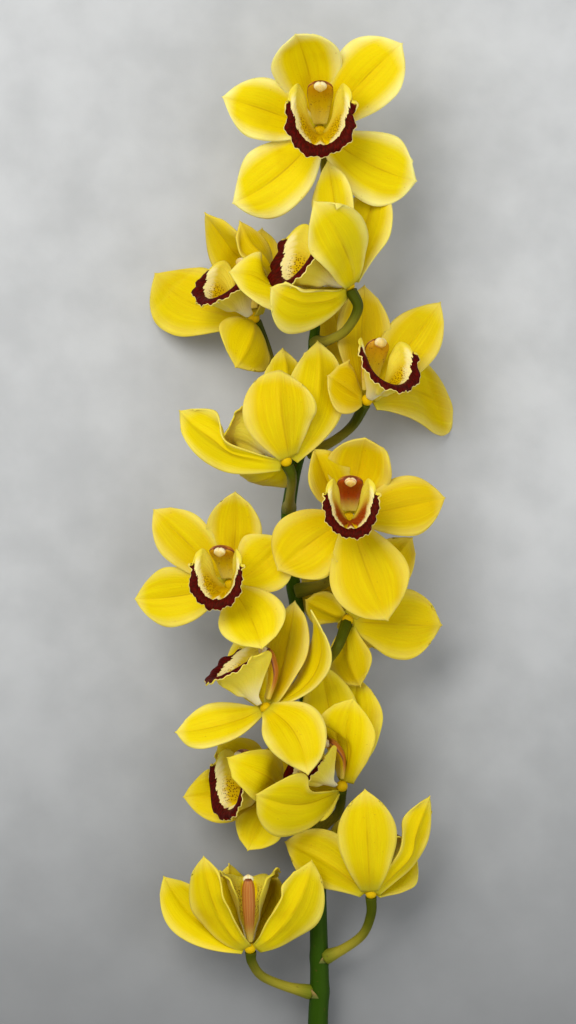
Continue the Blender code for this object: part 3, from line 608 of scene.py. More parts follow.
@dataclass
class TepalMaker:
    """Makes the five petals and sepals of each bloom, grown together at its base."""

    petals: Material
    first_seed: int = 400
    rows: int = 34
    columns: int = 28
    thickness: float = 0.75
    rib_depth: float = 0.7
    rib_width: float = 1.5
    pillow: float = 0.8
    wave: float = 0.9
    wave_pitches: tuple = (1.0, 1.9)
    wave_sizes: tuple = (0.4, 1.3)
    roll: float = 1.5
    roll_pitch: float = 3.4
    belly: float = 0.7
    belly_pitch: float = 4.2
    recurve: float = 1.6
    tip_length: float = 0.8
    tip_width: float = 0.2
    tone_spread: float = 0.3
    # Where the painted backlight starts towards the edges
    backlight_from: float = 0.62
    base_share: float = 0.7

    def sheet(self, bloom: Bloom, tepal: Tepal, name: str, dice: np.random.Generator) -> Object:
        """Makes one petal as a fine sheet without thickness.

        Args:
            bloom: The bloom that it grows on.
            tepal: Its plan.
            name: The object's name.
            dice: Seeded draws for its waves and tone.

        Returns:
            The sheet.
        """
        hub = place(*bloom.hub)
        axis = bloom.clear_axis()
        start = hub + square_to(place(*tepal.tip) - hub, axis) * ROOT_DEPTH
        middle = tepal.surface(start, np.array(0.5), np.array(0.0))
        coarse = tepal.surface(start, *net(COARSE_ROWS, COARSE_COLUMNS))
        kept = bloom.keep_clear(coarse, square_to(middle - hub, axis))
        floor = self.thickness / 2 if tepal.rests else CLEAR_OF_FLOOR
        kept[..., 2] = np.maximum(kept[..., 2], floor)
        r, v = net(self.rows, self.columns)
        by_row = spline_weights(r[:, 0], COARSE_ROWS + 1)
        by_column = spline_weights((v[0] + 1) / 2, COARSE_COLUMNS + 1)
        points = tepal.surface(start, r, v) + np.einsum("ri,ijk,cj->rck", by_row, kept - coarse, by_column)
        points = self.relief(points, tepal, r, v, dice)
        points[..., 2] = np.maximum(points[..., 2], floor)
        obj, at = add_grid(name, self.rows, self.columns)
        move_to(obj, points[at])
        # The tone mark is partly the bloom's own colour and partly painted shade, with a random spread per
        # petal
        tone = min(max(bloom.tone + dice.uniform(-self.tone_spread, self.tone_spread), 0.0), 1.0)
        # Painted backlight: the rim mark pales the petal edges
        rim = ramp(np.maximum(np.abs(v), r**3), self.backlight_from, 1.0) * bloom.painted_backlight
        paint(obj, tone, rim[at], np.abs(v)[at])
        return obj

    def relief(self, points: Array, tepal: Tepal, r: Array, v: Array, dice: np.random.Generator) -> Array:
        """Adds the middle rib, the soft swell of each half, the waved edge and the drawn out tip.

        Args:
            points: The petal's smooth surface.
            tepal: Its plan.
            r: How far along each point is.
            v: How far across.
            dice: Seeded draws.

        Returns:
            The points with that relief.
        """
        beside = np.abs(v)
        across_mm = beside * tepal.width / 2 * outline(r, tepal.widest, tepal.point)
        lift = -self.rib_depth * hump(across_mm, self.rib_width) * ramp(r, 0.02, 0.2) * (1 - r**6)
        lift = lift + self.pillow * np.sin(np.pi * beside) * ramp(r, 0.1, 0.5) * (1 - r**4)
        for side in (-1, 1):
            phase, pitch = dice.uniform(0, TURN), dice.uniform(*self.wave_pitches)
            edge = np.where(np.sign(v) == side, beside**3, 0.0) * dice.uniform(*self.wave_sizes)
            lift = lift + self.wave * edge * np.sin(TURN * pitch * r + phase) * ramp(r, 0.2, 0.6)
            bent = np.where(np.sign(v) == side, beside**4, 0.0) * dice.uniform(0.0, 1.0)
            lift = lift - self.recurve * bent * ramp(r, 0.25, 0.6)
        sway, lean = dice.uniform(-1, 1), dice.uniform(0, TURN)
        belly, phase = dice.uniform(-1, 1), dice.uniform(0, TURN)
        broad = sway * np.sin(self.roll_pitch * r + lean) * v
        broad = broad + self.belly * belly * np.cos(self.belly_pitch * r + phase)
        lift = lift + self.roll * broad * ramp(r, 0.1, 0.45)
        if tepal.rests:
            lift = lift * (1 - ramp(r, 0.45, 0.7))
        pinch = ramp(r, 0.86, 1.0) * hump(v, self.tip_width)
        ahead = along_rows(np.gradient(points, axis=0))
        return points + grid_normals(points) * lift[..., None] + ahead * (pinch * self.tip_length)[..., None]

    def make(self, number: int, bloom: Bloom) -> None:
        """Makes all five, with the small base that they grow from."""
        dice = np.random.default_rng(self.first_seed + number)
        pieces = []
        for index, tepal in enumerate(bloom.tepals):
            pieces.append(self.sheet(bloom, tepal, f"petal_{number:02d}_{index}", dice))
        obj = join(pieces, f"petals_and_sepals_{number:02d}")
        thicken(obj, self.thickness)
        hub, ways = bloom.frame()
        base = add_ball(f"base_{number:02d}", 12, 24)
        move_to(base, hub + HUB_RADIUS * self.base_share * (coordinates(base) @ ways))
        paint(base, 0.5, 0.0, BASE_MARK)
        outwards(base)
        obj = join([obj, base], obj.name)
        dress(obj, self.petals)
        finish_piece(obj, [f"bloom_{number:02d}_tepals"])


@dataclass
class LipMaker:
    """Makes each bloom's lip: a trough with raised side lobes, two keels and a ruffled front rim."""

    inside: Material
    outside: Material
    first_seed: int = 700
    rows: int = 60
    columns: int = 84
    thickness: float = 0.8
    ruffles: tuple = ((2.3, 0.8), (4.7, 0.6), (7.9, 0.3))
    wander_pitch: float = 2.1
    wander: float = 0.45
    scallop_pitches: tuple = (9, 21)
    scallop_sizes: tuple = (0.6, 0.35)
    lobe_roll: float = 2.6
    keel_height: float = 2.2
    keel_place: float = 0.1
    keel_width: float = 0.045

    def surface(self, bloom: Bloom, s: Array, v: Array) -> Array:
        """Finds points of the lip, as rightward, upward and forward of its root in mm."""
        length = s * (1 - LIP_NARROWING * v**4)
        values = (spline_weights(length, len(LIP_LINE)) @ np.array(LIP_LINE)).reshape(*s.shape, 3)
        ahead, radius, wall = values[..., 0], values[..., 1], values[..., 2]
        arc = radius * math.pi / 2
        reach = np.abs(v) * (arc + wall)
        on_wall = np.maximum(reach - arc, 0)
        turned = np.minimum(reach / radius, math.pi / 2)
        lateral = np.sign(v) * (radius * np.sin(turned) + LIP_FLARE * on_wall) * bloom.lip_width
        above = on_wall - radius * np.cos(turned) + LIP_RISE * length - LIP_SINK
        return np.stack((lateral, above, ahead), axis=-1) * bloom.lip_size

    def make(self, number: int, bloom: Bloom) -> None:
        """Makes the lip of one bloom."""
        dice = np.random.default_rng(self.first_seed + number)
        s, v = net(self.rows, self.columns)
        beside = np.abs(v)
        points = self.surface(bloom, s, v)
        rim = ramp(s, 0.66, 1.0) ** 1.4
        ruffle = np.zeros_like(s)
        for pitch, size in self.ruffles:
            wander = 1 + self.wander * np.sin(self.wander_pitch * v + dice.uniform(0, TURN))
            ruffle += size * np.sin(pitch * wander * v * HALF_TURN + dice.uniform(0, TURN))
        keel = hump(beside - self.keel_place, self.keel_width) * ramp(s, 0.16, 0.3) * ramp(s, 0.66, 0.52)
        lobe = ramp(beside, 0.66, 1.0) * ramp(s, 0.2, 0.42) * ramp(s, 0.78, 0.6)
        lift = (ruffle * rim + keel * self.keel_height - lobe * self.lobe_roll) * bloom.lip_size
        points = points + grid_normals(points) * lift[..., None]
        scallop = np.zeros_like(s)
        for pitch, size, phase in zip(self.scallop_pitches, self.scallop_sizes, (dice.uniform(0, TURN), 1.0)):
            scallop += size * np.sin(pitch * v * HALF_TURN + phase)
        points = points + along_rows(np.gradient(points, axis=0)) * (rim**2 * scallop)[..., None]
        hub, ways = bloom.frame()
        spots = hub + ways[2] * LIP_SEAT + points @ ways
        spots[..., 2] = np.maximum(spots[..., 2], CLEAR_OF_FLOOR)
        obj, at = add_grid(f"ruffled_lip_{number:02d}", self.rows, self.columns)
        move_to(obj, spots[at])
        paint(obj, bloom.plain, bloom.red, beside[at])
        dress(obj, self.outside, self.inside)
        thicken(obj, self.thickness, inner_slot=1)
        finish_piece(obj, [f"bloom_{number:02d}_lip"])


@dataclass
class ColumnMaker:
    """Makes each bloom's arched column and its anther cap."""

    back: Material
    cap: Material
    radii: tuple = (1.8, 2.4, 2.9, 3.4, 3.4, 3.1)
    round_from: float = 0.84
    rounding: float = 0.8
    widening: float = 1.9
    hollow: float = 0.5
    groove: float = 0.3
    groove_width: float = 0.35
    steps: int = 40
    segments: int = 32
    cap_size: tuple = (3.1, 2.2, 2.5)
    cap_back: float = 1.1
    cap_drop: float = 1.3
    dent: float = 0.16
    dent_width: float = 0.16
    beak: float = 0.25
    beak_width: float = 0.3

    def make(self, number: int, bloom: Bloom) -> None:
        """Makes the column of one bloom, with its cap as a second material."""
        hub, (right, up, forward) = bloom.frame()
        outward = forward * math.cos(COLUMN_ANGLE) + up * math.sin(COLUMN_ANGLE)
        rising = up * math.cos(COLUMN_ANGLE) - forward * math.sin(COLUMN_ANGLE)
        first = hub + outward * (HUB_RADIUS + GAP + COLUMN_START) + rising * COLUMN_LIFT
        last = hub + outward * COLUMN_LENGTH * bloom.lip_size
        path = smooth_path((first, (first + last) / 2 + rising * COLUMN_ARCH, last), self.steps)
        past = np.clip((np.linspace(0, 1, len(path)) - self.round_from) / (1 - self.round_from), 0, 1)
        radii = smooth_path(np.array(self.radii)[:, None], self.steps)[:, 0]
        radii = radii * np.sqrt(1 - self.rounding * past**2)
        slope = along_rows(np.gradient(path, axis=0))
        lift = along_rows(np.cross(slope, np.broadcast_to(right, slope.shape)))
        lift = lift * np.sign(lift @ rising)[:, None]
        obj, at, radius, angle = add_tube(f"arched_column_{number:02d}", radii, self.segments)
        dip = self.groove * hump(np.cos(angle), self.groove_width)
        over = radius * np.cos(angle) * self.widening * bloom.column_width
        above = radius * np.sin(angle) * np.where(np.sin(angle) < 0, self.hollow - dip, 1.0)
        move_to(obj, path[at] + right * over[:, None] + lift[at] * above[:, None])
        red = RED_MARK * bloom.red
        paint(obj, at / self.steps + red, (np.sin(angle) + 1) / 2, (np.cos(angle) + 1) / 2)
        outwards(obj)
        dress(obj, self.back)
        cap = add_ball(f"anther_cap_{number:02d}", 20, 28)
        ball = coordinates(cap)
        across, high, ahead = ball.T
        dent = 1 - self.dent * hump(across, self.dent_width) * ramp(high, -0.6, 0.4)
        beak = 1 + self.beak * hump(across, self.beak_width) * ramp(-high, 0.2, 0.9)
        size = np.array(self.cap_size) * (0.5 + 0.5 * bloom.lip_size) * (0.5 + 0.5 * bloom.column_width)
        seat = last - outward * self.cap_back - rising * self.cap_drop
        move_to(cap, seat + (ball * size * (dent * beak)[:, None]) @ np.stack((right, rising, outward)))
        paint(cap, (ahead + 1) / 2 + red, (high + 1) / 2, (across + 1) / 2)
        outwards(cap)
        dress(cap, self.cap)
        obj = join([obj, cap], obj.name)
        finish_piece(obj, [f"bloom_{number:02d}_column"])


@dataclass
class StemMaker:
    """Makes the stem and the thirteen stalks that grow from it."""

    green: Material
    steps: int = 220
    segments: int = 36
    stalk_steps: int = 44
    stalk_segments: int = 24
    knot: float = 0.35
    knot_length: float = 3.0
    foot_swell: float = 0.9
    foot_share: float = 0.12
    stalk_end: float = 2.4
    ovary_ribs: int = 6
    rib_depth: float = 0.07

    def spine(self) -> tuple[Array, Array]:
        """The stem's middle line from its cut end, and its radius at each point, in mm."""
        spots = [(*place(x, y, height), radius) for x, y, height, radius in STEM_LINE]
        path = smooth_path(spots, self.steps)
        return path[:, :3], path[:, 3]

    def tube(self, name: str, path: Array, radii: Array, segments: int, ribs: float = 0.0) -> Object:
        """Makes a closed round tube along a path.

        Args:
            name: The object's name.
            path: Points in mm.
            radii: The radius at each.
            segments: Steps round it.
            ribs: Depth of its lengthwise ribs, as a share of its radius.

        Returns:
            The tube.
        """
        side, over = carried_ways(path)
        obj, at, radius, angle = add_tube(name, radii, segments)
        radius = radius * (1 + ribs * np.cos(self.ovary_ribs * angle) * at / len(path))
        ways = side[at] * np.cos(angle)[:, None] + over[at] * np.sin(angle)[:, None]
        move_to(obj, path[at] + ways * radius[:, None])
        outwards(obj)
        return obj

    def make(self) -> None:
        """Makes the stem and its stalks as one piece."""
        path, radii = self.spine()
        for bloom in BLOOMS:
            near = np.linalg.norm(path - place(*bloom.stalk[0]), axis=1).argmin()
            radii = radii + self.knot * hump(path[:, 1] - path[near, 1], self.knot_length)
        stem = self.tube("green_stem", path, radii, self.segments)
        height = (coordinates(stem)[:, 1] / MM - path[0, 1]) / (path[-1, 1] - path[0, 1])
        paint(stem, 0.0, height, 0.0)
        pieces = [stem]
        for number, bloom in enumerate(BLOOMS, 1):
            pieces.append(self.stalk(number, bloom))
        obj = join(pieces, "green_stem_and_stalks")
        dress(obj, self.green)
        finish_piece(obj, ["stem"])

    def stalk(self, number: int, bloom: Bloom) -> Object:
        """Makes one flower stalk, which thickens into the ribbed ovary behind its bloom."""
        spots = [place(*spot) for spot in bloom.stalk]
        hub = place(*bloom.hub)
        spots.append(hub + unit(spots[-1] - hub) * self.stalk_end)
        path = smooth_path(spots, self.stalk_steps)
        swell = self.foot_swell * hump(np.linspace(0, 1, len(path)), self.foot_share)
        radii = smooth_path(np.array(STALK_RADII)[:, None], self.stalk_steps)[:, 0] + swell
        obj = self.tube(f"stalk_{number:02d}", path, radii, self.stalk_segments, self.rib_depth)
        near = np.linalg.norm(coordinates(obj)[:, None] / MM - path[None], axis=-1).argmin(1)
        paint(obj, 1.0, near / self.stalk_steps, number / len(BLOOMS))
        return obj


@dataclass
class ScaleMaker:
    """Makes the small pointed scale that clasps the stem under each stalk."""

    husk: Material
    stem: StemMaker
    rows: int = 14
    columns: int = 12
    thickness: float = 0.45
    start: float = 3.0
    length: float = 5.5
    clasp: float = 1.15
    clearance: float = 0.25
    flare: float = 1.3
    bulge: float = 0.35
    bulge_length: float = 1.0

    def make(self) -> None:
        """Makes all the scales as one piece."""
        path, radii = self.stem.spine()
        north = np.array((0.0, 1.0, 0.0))
        r, v = net(self.rows, self.columns)
        turn = v * self.clasp * np.sqrt(np.clip(1 - r, 0, 1))
        pieces = []
        for number, bloom in enumerate(BLOOMS, 1):
            foot, second = place(*bloom.stalk[0]), place(*bloom.stalk[1])
            leaving = square_to(second - foot, north)
            along = foot[1] - self.start + r * self.length
            centre = np.stack([np.interp(along, path[:, 1], values) for values in path.T], axis=-1)
            ways = leaving * np.cos(turn)[..., None] + np.cross(north, leaving) * np.sin(turn)[..., None]
            bulge = self.bulge * (np.abs(foot[1] - along) < self.bulge_length)
            reach = np.interp(along, path[:, 1], radii) + self.clearance + self.flare * r**2 + bulge
            obj, at = add_grid(f"scale_{number:02d}", self.rows, self.columns)
            move_to(obj, (centre + ways * reach[..., None])[at])
            paint(obj, number / len(BLOOMS), 0.0, 0.0)
            pieces.append(obj)
        obj = join(pieces, "foot_scales")
        dress(obj, self.husk)
        thicken(obj, self.thickness)
        finish_piece(obj, [])


# Finishes


class Reading:
    """One value in a material's nodes; arithmetic on it adds Math nodes."""

    def __init__(self, recipe: "Recipe", socket: Socket) -> None:
        """Wraps an output socket of a recipe's node."""
        self.recipe = recipe
        self.socket = socket

    def __add__(self, other: "Term") -> "Reading":
        """The sum."""
        return self.recipe.math("ADD", self, other)

    def __sub__(self, other: "Term") -> "Reading":
        """The difference."""
        return self.recipe.math("SUBTRACT", self, other)

    def __rsub__(self, other: "Term") -> "Reading":
        """The difference from a number."""
        return self.recipe.math("SUBTRACT", other, self)

    def __mul__(self, other: "Term") -> "Reading":
        """The product."""
        return self.recipe.math("MULTIPLY", self, other)

    def __pow__(self, other: "Term") -> "Reading":
        """The power."""
        return self.recipe.math("POWER", self, other)

    def __abs__(self) -> "Reading":
        """The value without its sign."""
        return self.recipe.math("ABSOLUTE", self)

    __radd__ = __add__
    __rmul__ = __mul__


Term = Union[Reading, float, int]
Tint = Union[Reading, Colour]


class Recipe:
    """Builds one material, from coordinates and marks to its shader."""

    def __init__(self, name: str) -> None:
        """Starts an empty material."""
        self.material = bpy.data.materials.new(name)
        self.material.use_nodes = True
        self.tree = self.material.node_tree
        self.tree.nodes.clear()
        self.coordinates = self.node("ShaderNodeTexCoord")
        self.across, self.along = self.split("ShaderNodeSeparateXYZ", self.coordinates.outputs["UV"])[:2]
        mark = self.node("ShaderNodeAttribute", {"attribute_name": MARK_NAME})
        self.marks = self.split("ShaderNodeSeparateColor", mark.outputs["Color"])

    def node(
        self, kind: str, settings: Optional[dict[str, Any]] = None, inputs: Optional[dict[Any, Any]] = None
    ) -> bpy.types.Node:
        """Adds a node.

        Args:
            kind: Its type.
            settings: Its properties, set first.
            inputs: Values or links of its sockets, by name or number.

        Returns:
            The node.
        """
        made = self.tree.nodes.new(kind)
        for key, value in (settings or {}).items():
            setattr(made, key, value)
        for key, value in (inputs or {}).items():
            if isinstance(value, Reading):
                value = value.socket
            if isinstance(value, Socket):
                self.tree.links.new(value, made.inputs[key])
            else:
                made.inputs[key].default_value = value
        return made

    def split(self, kind: str, socket: Socket) -> tuple[Reading, ...]:
        """The three parts of a vector or colour."""
        parts = self.node(kind, inputs={0: socket}).outputs
        return tuple(Reading(self, parts[number]) for number in range(3))

    def math(self, operation: str, *terms: Term) -> Reading:
        """Adds a Math node for an operation on terms."""
        made = self.node("ShaderNodeMath", {"operation": operation}, dict(enumerate(terms)))
        return Reading(self, made.outputs[0])

    def step(self, value: Reading, low: Term, high: Term) -> Reading:
        """A soft step from 0 where the value is low to 1 where it is high."""
        settings = {"interpolation_type": "SMOOTHSTEP"}
        made = self.node("ShaderNodeMapRange", settings, {"Value": value, "From Min": low, "From Max": high})
        return Reading(self, made.outputs[0])

    def mix(self, share: Term, first: Tint, second: Tint) -> Reading:
        """Mixes two colours."""
        sides = [(*side, 1.0) if isinstance(side, tuple) else side for side in (first, second)]
        made = self.node("ShaderNodeMix", {"data_type": "RGBA"}, {0: share, 6: sides[0], 7: sides[1]})
        return Reading(self, made.outputs[2])

    def layers(self, colour: Tint, *coats: tuple[Term, Tint]) -> Tint:
        """Lays coats over a colour, each a share of it and a colour of its own."""
        for share, coat in coats:
            colour = self.mix(share, colour, coat)
        return colour

    def noise(self, scale: float, detail: float = 2.0, stretch: Optional[Sequence[float]] = None) -> Reading:
        """Soft noise from 0 to 1.

        Args:
            scale: Waves to the metre, or with a stretch the share of its numbers.
            detail: How many finer layers it has.
            stretch: Waves across and along the piece's own UV map, in place of its object coordinates.

        Returns:
            The noise.
        """
        spot = self.on_map(*stretch) if stretch else self.coordinates.outputs["Object"]
        made = self.node("ShaderNodeTexNoise", inputs={"Vector": spot, "Scale": scale, "Detail": detail})
        return Reading(self, made.outputs["Fac"])

    def on_map(self, across: float, along: float) -> Socket:
        """The piece's UV map stretched by two numbers, shifted by the piece's own mark."""
        parts = {0: self.across * across, 1: self.along * along, 2: self.marks[0] * MARK_SHIFT}
        return self.node("ShaderNodeCombineXYZ", inputs=parts).outputs[0]

    def cells(self, across: float, along: float) -> Reading:
        """Distance to the nearest of many scattered dots on the piece's UV map."""
        inputs = {"Vector": self.on_map(across, along), "Scale": 1.0}
        made = self.node("ShaderNodeTexVoronoi", {"voronoi_dimensions": "2D"}, inputs)
        return Reading(self, made.outputs["Distance"])

    def red_mark(self) -> tuple[Reading, Reading]:
        """Whether the first mark is one of a red bloom, and the mark's own value."""
        red = self.step(self.marks[0], *MARK_STEP)
        return red, self.marks[0] - red * RED_MARK

    def finish(
        self, colour: Tint, roughness: Term, height: Reading, depth: float, strength: float, **constants: Any
    ) -> Material:
        """Closes the material with its shader.

        Args:
            colour: The surface's colour.
            roughness: Its roughness.
            height: The height field of its bumps.
            depth: Their full height in millimetres.
            strength: How far they turn the normal.
            constants: Values that are the same all over, by socket name with spaces as underscores.

        Returns:
            The material.
        """
        bumps = {"Height": height, "Distance": depth * MM, "Strength": strength}
        normal = self.node("ShaderNodeBump", inputs=bumps).outputs[0]
        values = {key.replace("_", " "): value for key, value in constants.items()}
        values.update({"Base Color": colour, "Roughness": roughness, "Normal": normal})
        shader = self.node("ShaderNodeBsdfPrincipled", {"subsurface_method": "RANDOM_WALK"}, values)
        self.node("ShaderNodeOutputMaterial", inputs={"Surface": shader.outputs[0]})
        return self.material


SKIN_GLOW = {"Subsurface_Weight": 0.14, "Subsurface_Radius": (1.0, 0.6, 0.05), "Subsurface_Scale": 0.0020}
WARM_SHEEN = (1.0, 0.9, 0.45, 1.0)
GREEN_SHEEN = (0.8, 1.0, 0.35, 1.0)


@dataclass(frozen=True)
class PetalFinish:
    """Waxy yellow petals with a golden rib, fine lengthwise veins, pale edges of painted backlight, painted
    shade along the middle, a greenish foot that is partly painted shade, and an amber base.
    """

    clear: Colour = (0.76, 0.59, 0.0)
    # Deeper gold: used for random streaks, and as painted shade along the middle fold and on shaded blooms
    warm_and_shade: Colour = (0.64, 0.43, 0.0)
    fresh: Colour = (0.60, 0.475, 0.0)
    deep: Colour = (0.50, 0.315, 0.0)
    rib: Colour = (0.36, 0.19, 0.0)
    # Painted backlight colour for the petal edges
    pale: Colour = (0.88, 0.80, 0.30)
    # Greenish foot, partly the petal's own colour and partly painted shade near the hub
    foot: Colour = (0.46, 0.40, 0.02)
    base: Colour = (0.66, 0.42, 0.0)
    fleck: Colour = (0.42, 0.20, 0.01)

    def make(self) -> Material:
        """Builds the material."""
        mix = Recipe("yellow petal")
        tone, rim, beside = mix.marks
        from_rib = abs(mix.across - 0.5)
        streak = mix.noise(1.0, 3.0, (16.0, 1.3))
        wave = mix.math("SINE", mix.across * 130.0 + mix.noise(1.0, 2.0, (5.0, 1.6)) * 12.0)
        vein = mix.step(wave, 0.3, 1.0) * mix.step(mix.along, 0.02, 0.2)
        rib = mix.step(from_rib, 0.028, 0.0) * mix.step(mix.along, 1.0, 0.55)
        colour = mix.layers(
            self.clear,
            # Deeper gold by the tone mark: partly the bloom's own colour, partly painted shade on shaded
            # blooms
            (mix.step(tone, 0.0, 1.0), self.warm_and_shade),
            (mix.step(mix.noise(22.0, 2.0), 0.42, 0.72) * 0.6, self.fresh),
            (mix.step(mix.noise(46.0, 3.0), 0.5, 0.8) * 0.45, self.deep),
            (mix.step(streak, 0.5, 0.25) * 0.45, self.warm_and_shade),
            (mix.step(streak, 0.5, 0.72) * 0.5, self.clear),
            (vein * 0.035, self.rib),
            (rib * mix.step(mix.noise(60.0), 0.3, 0.6) * 0.55, self.rib),
            # Painted shade: deeper gold along the middle fold
            (mix.step(from_rib, 0.13, 0.02) * 0.22, self.warm_and_shade),
            # Painted backlight: pale glow along the edges
            (rim * (0.3 + mix.noise(1.0, 2.0, (3.0, 5.0)) * 0.9), self.pale),
            # Greenish and darker at the foot: partly its own colour, partly painted shade where the petal
            # meets the hub
            (mix.step(mix.along, 0.16, 0.0) * 0.7, self.foot),
            (mix.step(beside, *MARK_STEP), self.base),
            (mix.step(mix.noise(520.0, 1.0), 0.745, 0.78) * 0.3, self.fleck),
        )
        height = vein * -0.12 + mix.noise(1500.0, 2.0) * 0.3 + mix.noise(200.0, 3.0) * 0.8 + streak * 0.7
        sheen = {"Specular_IOR_Level": 0.13, "Specular_Tint": WARM_SHEEN, **SKIN_GLOW}
        return mix.finish(colour, 0.46 + mix.noise(300.0, 2.0) * 0.14, height, 0.45, 0.5, **sheen)


class LipSide(Enum):
    """Which face of a lip a finish is for."""

    INSIDE = "inside"
    OUTSIDE = "outside"


@dataclass(frozen=True)
class LipFinish:
    """A lip's cream rim, ragged maroon band, amber throat with dark dots, and pale side lobes."""

    side: LipSide
    rim: Colour = (0.74, 0.56, 0.14)
    maroon: Colour = (0.095, 0.0, 0.0004)
    dark: Colour = (0.035, 0.0, 0.0002)
    cream: Colour = (0.86, 0.74, 0.34)
    lobe: Colour = (0.74, 0.60, 0.05)
    throat: Colour = (0.62, 0.41, 0.0)
    keel: Colour = (0.82, 0.63, 0.0)
    brick: Colour = (0.34, 0.045, 0.004)
    white: Colour = (0.80, 0.72, 0.42)
    rose: Colour = (0.42, 0.12, 0.05)

    def make(self) -> Material:
        """Builds the material."""
        mix = Recipe(f"lip {self.side.value}")
        beside = abs(mix.across - 0.5) * 2.0
        along = mix.along
        plain, red = mix.marks[:2]
        ragged = mix.noise(1.0, 5.0, (38.0, 8.0)) - 0.5
        spike = mix.step(beside, 0.05, 0.0) * 0.07
        inner = 0.63 + beside**2.5 * 0.2 - spike + ragged * 0.15 + plain * 0.27
        outer = 0.975 - beside**6 * 0.03 + (mix.noise(1.0, 3.0, (24.0, 4.0)) - 0.5) * 0.03
        band = mix.step(along, inner, inner + 0.012) * mix.step(along, outer + 0.01, outer)
        band = band * mix.step(beside + ragged * 0.14, 0.985, 0.95)
        if self.side is LipSide.OUTSIDE:
            colour = mix.layers(
                self.white,
                (mix.step(along, 0.0, 0.42), self.lobe),
                (mix.step(beside, 0.7, 0.05) * red, self.rose),
                (mix.step(beside, 0.035, 0.01) * mix.step(along, 0.8, 0.6), self.white),
                (band * 0.22, self.rose),
            )
        else:
            opening = mix.step(along, 0.16, 0.28)
            keels = mix.step(abs(beside - 0.1), 0.06, 0.02) * opening * mix.step(along, 0.7, 0.6)
            halo = mix.step(along, inner - 0.17, inner - 0.07) * mix.step(beside, 0.96, 0.86)
            dots = mix.step(mix.cells(46.0, 26.0), 0.3, 0.2) * mix.step(beside, 0.14, 0.2)
            dots = dots * mix.step(beside, 0.66, 0.5) * opening * mix.step(along, 0.62, 0.5)
            blots = mix.step(mix.cells(26.0, 18.0), 0.26, 0.2) * mix.step(beside, 0.82, 0.86)
            blots = blots * mix.step(along, 0.78, 0.82) * mix.step(along, 0.95, 0.92)
            dye = mix.mix(mix.step(mix.noise(1.0, 4.0, (60.0, 9.0)), 0.35, 0.7), self.dark, self.maroon)
            colour = mix.layers(
                self.throat,
                (red, self.brick),
                (mix.step(beside, 0.45, 0.85), self.lobe),
                (mix.step(along, 0.46, 0.7), mix.mix(beside, self.keel, self.lobe)),
                (plain * 0.8, self.lobe),
                (keels, self.keel),
                (halo * 0.85 * (1 - plain), self.cream),
                (dots * 0.8, self.maroon),
                (blots, self.maroon),
                (band, dye),
                (mix.step(along, outer - 0.005, outer + 0.03) * 0.8, self.rim),
            )
        wave = mix.math("SINE", mix.across * 150.0 + mix.noise(1.0, 2.0, (6.0, 2.0)) * 8.0)
        vein = mix.step(wave, 0.3, 1.0)
        colour = mix.layers(colour, (vein * 0.05 * (1 - band), self.throat))
        height = vein * -0.3 + mix.noise(1500.0, 2.0) * 0.6 + mix.noise(330.0, 2.0) * 0.5
        gloss = 0.48 + band * 0.1 + mix.noise(300.0, 2.0) * 0.12
        sheen = {"Specular_IOR_Level": 0.10, "Specular_Tint": WARM_SHEEN, **SKIN_GLOW}
        return mix.finish(colour, gloss, height, 0.35, 0.6, **sheen)


@dataclass(frozen=True)
class ColumnFinish:
    """A column with a rosy, lengthwise striped back and an amber underside."""

    back: Colour = (0.42, 0.13, 0.012)
    stripe: Colour = (0.60, 0.33, 0.07)
    under: Colour = (0.56, 0.27, 0.0)
    gold: Colour = (0.60, 0.40, 0.0)
    brick: Colour = (0.36, 0.05, 0.0)
    edge: Colour = (0.12, 0.012, 0.002)
    foot: Colour = (0.64, 0.48, 0.06)

    def make(self) -> Material:
        """Builds the material."""
        mix = Recipe("column")
        _, above, over = mix.marks
        red, along = mix.red_mark()
        stripes = mix.step(mix.math("SINE", over * 30.0 + mix.noise(120.0) * 3.0), -0.2, 0.9)
        amber = mix.layers(self.under, (mix.step(along, 0.95, 0.4), self.gold), (red, self.brick))
        rim = mix.step(abs(above - 0.46), 0.13, 0.03)
        flecks = mix.step(mix.noise(900.0, 2.0), 0.6, 0.7) * mix.step(above, 0.5, 0.35)
        colour = mix.layers(
            self.back,
            (stripes * 0.3, self.stripe),
            (mix.step(above, 0.5, 0.3), amber),
            (rim * 0.85 * mix.step(along, 0.3, 0.6), self.edge),
            (mix.step(along, 0.965, 0.99) * 0.8, self.edge),
            (flecks * 0.55, self.edge),
            (mix.step(along, 0.4, 0.0), self.foot),
        )
        height = stripes * 0.4 + mix.noise(1500.0, 2.0) * 0.5
        gloss = 0.36 + mix.noise(300.0) * 0.12
        return mix.finish(colour, gloss, height, 0.3, 0.6, Specular_IOR_Level=0.3, **SKIN_GLOW)


@dataclass(frozen=True)
class CapFinish:
    """The creamy cap at the column's end, with a faint golden groove."""

    cream: Colour = (0.82, 0.70, 0.38)
    gold: Colour = (0.66, 0.42, 0.04)
    peach: Colour = (0.66, 0.27, 0.07)

    def make(self) -> Material:
        """Builds the material."""
        mix = Recipe("anther cap")
        _, above, over = mix.marks
        red, ahead = mix.red_mark()
        bars = mix.step(mix.math("SINE", above * 22.0 + mix.noise(200.0) * 2.0), -0.3, 0.5)
        colour = mix.layers(
            self.cream,
            (mix.step(abs(over - 0.5), 0.1, 0.0) * 0.4, self.gold),
            (mix.step(ahead, 0.35, 0.1), self.peach),
            (red * bars * 0.8, self.peach),
            (mix.step(above, 0.35, 0.1) * 0.7, self.gold),
            (mix.step(mix.noise(420.0, 3.0), 0.55, 0.75) * 0.35, self.peach),
        )
        gloss = 0.4 + mix.noise(500.0) * 0.1
        height = mix.noise(900.0, 3.0)
        return mix.finish(colour, gloss, height, 0.3, 0.6, Specular_IOR_Level=0.45, **SKIN_GLOW)


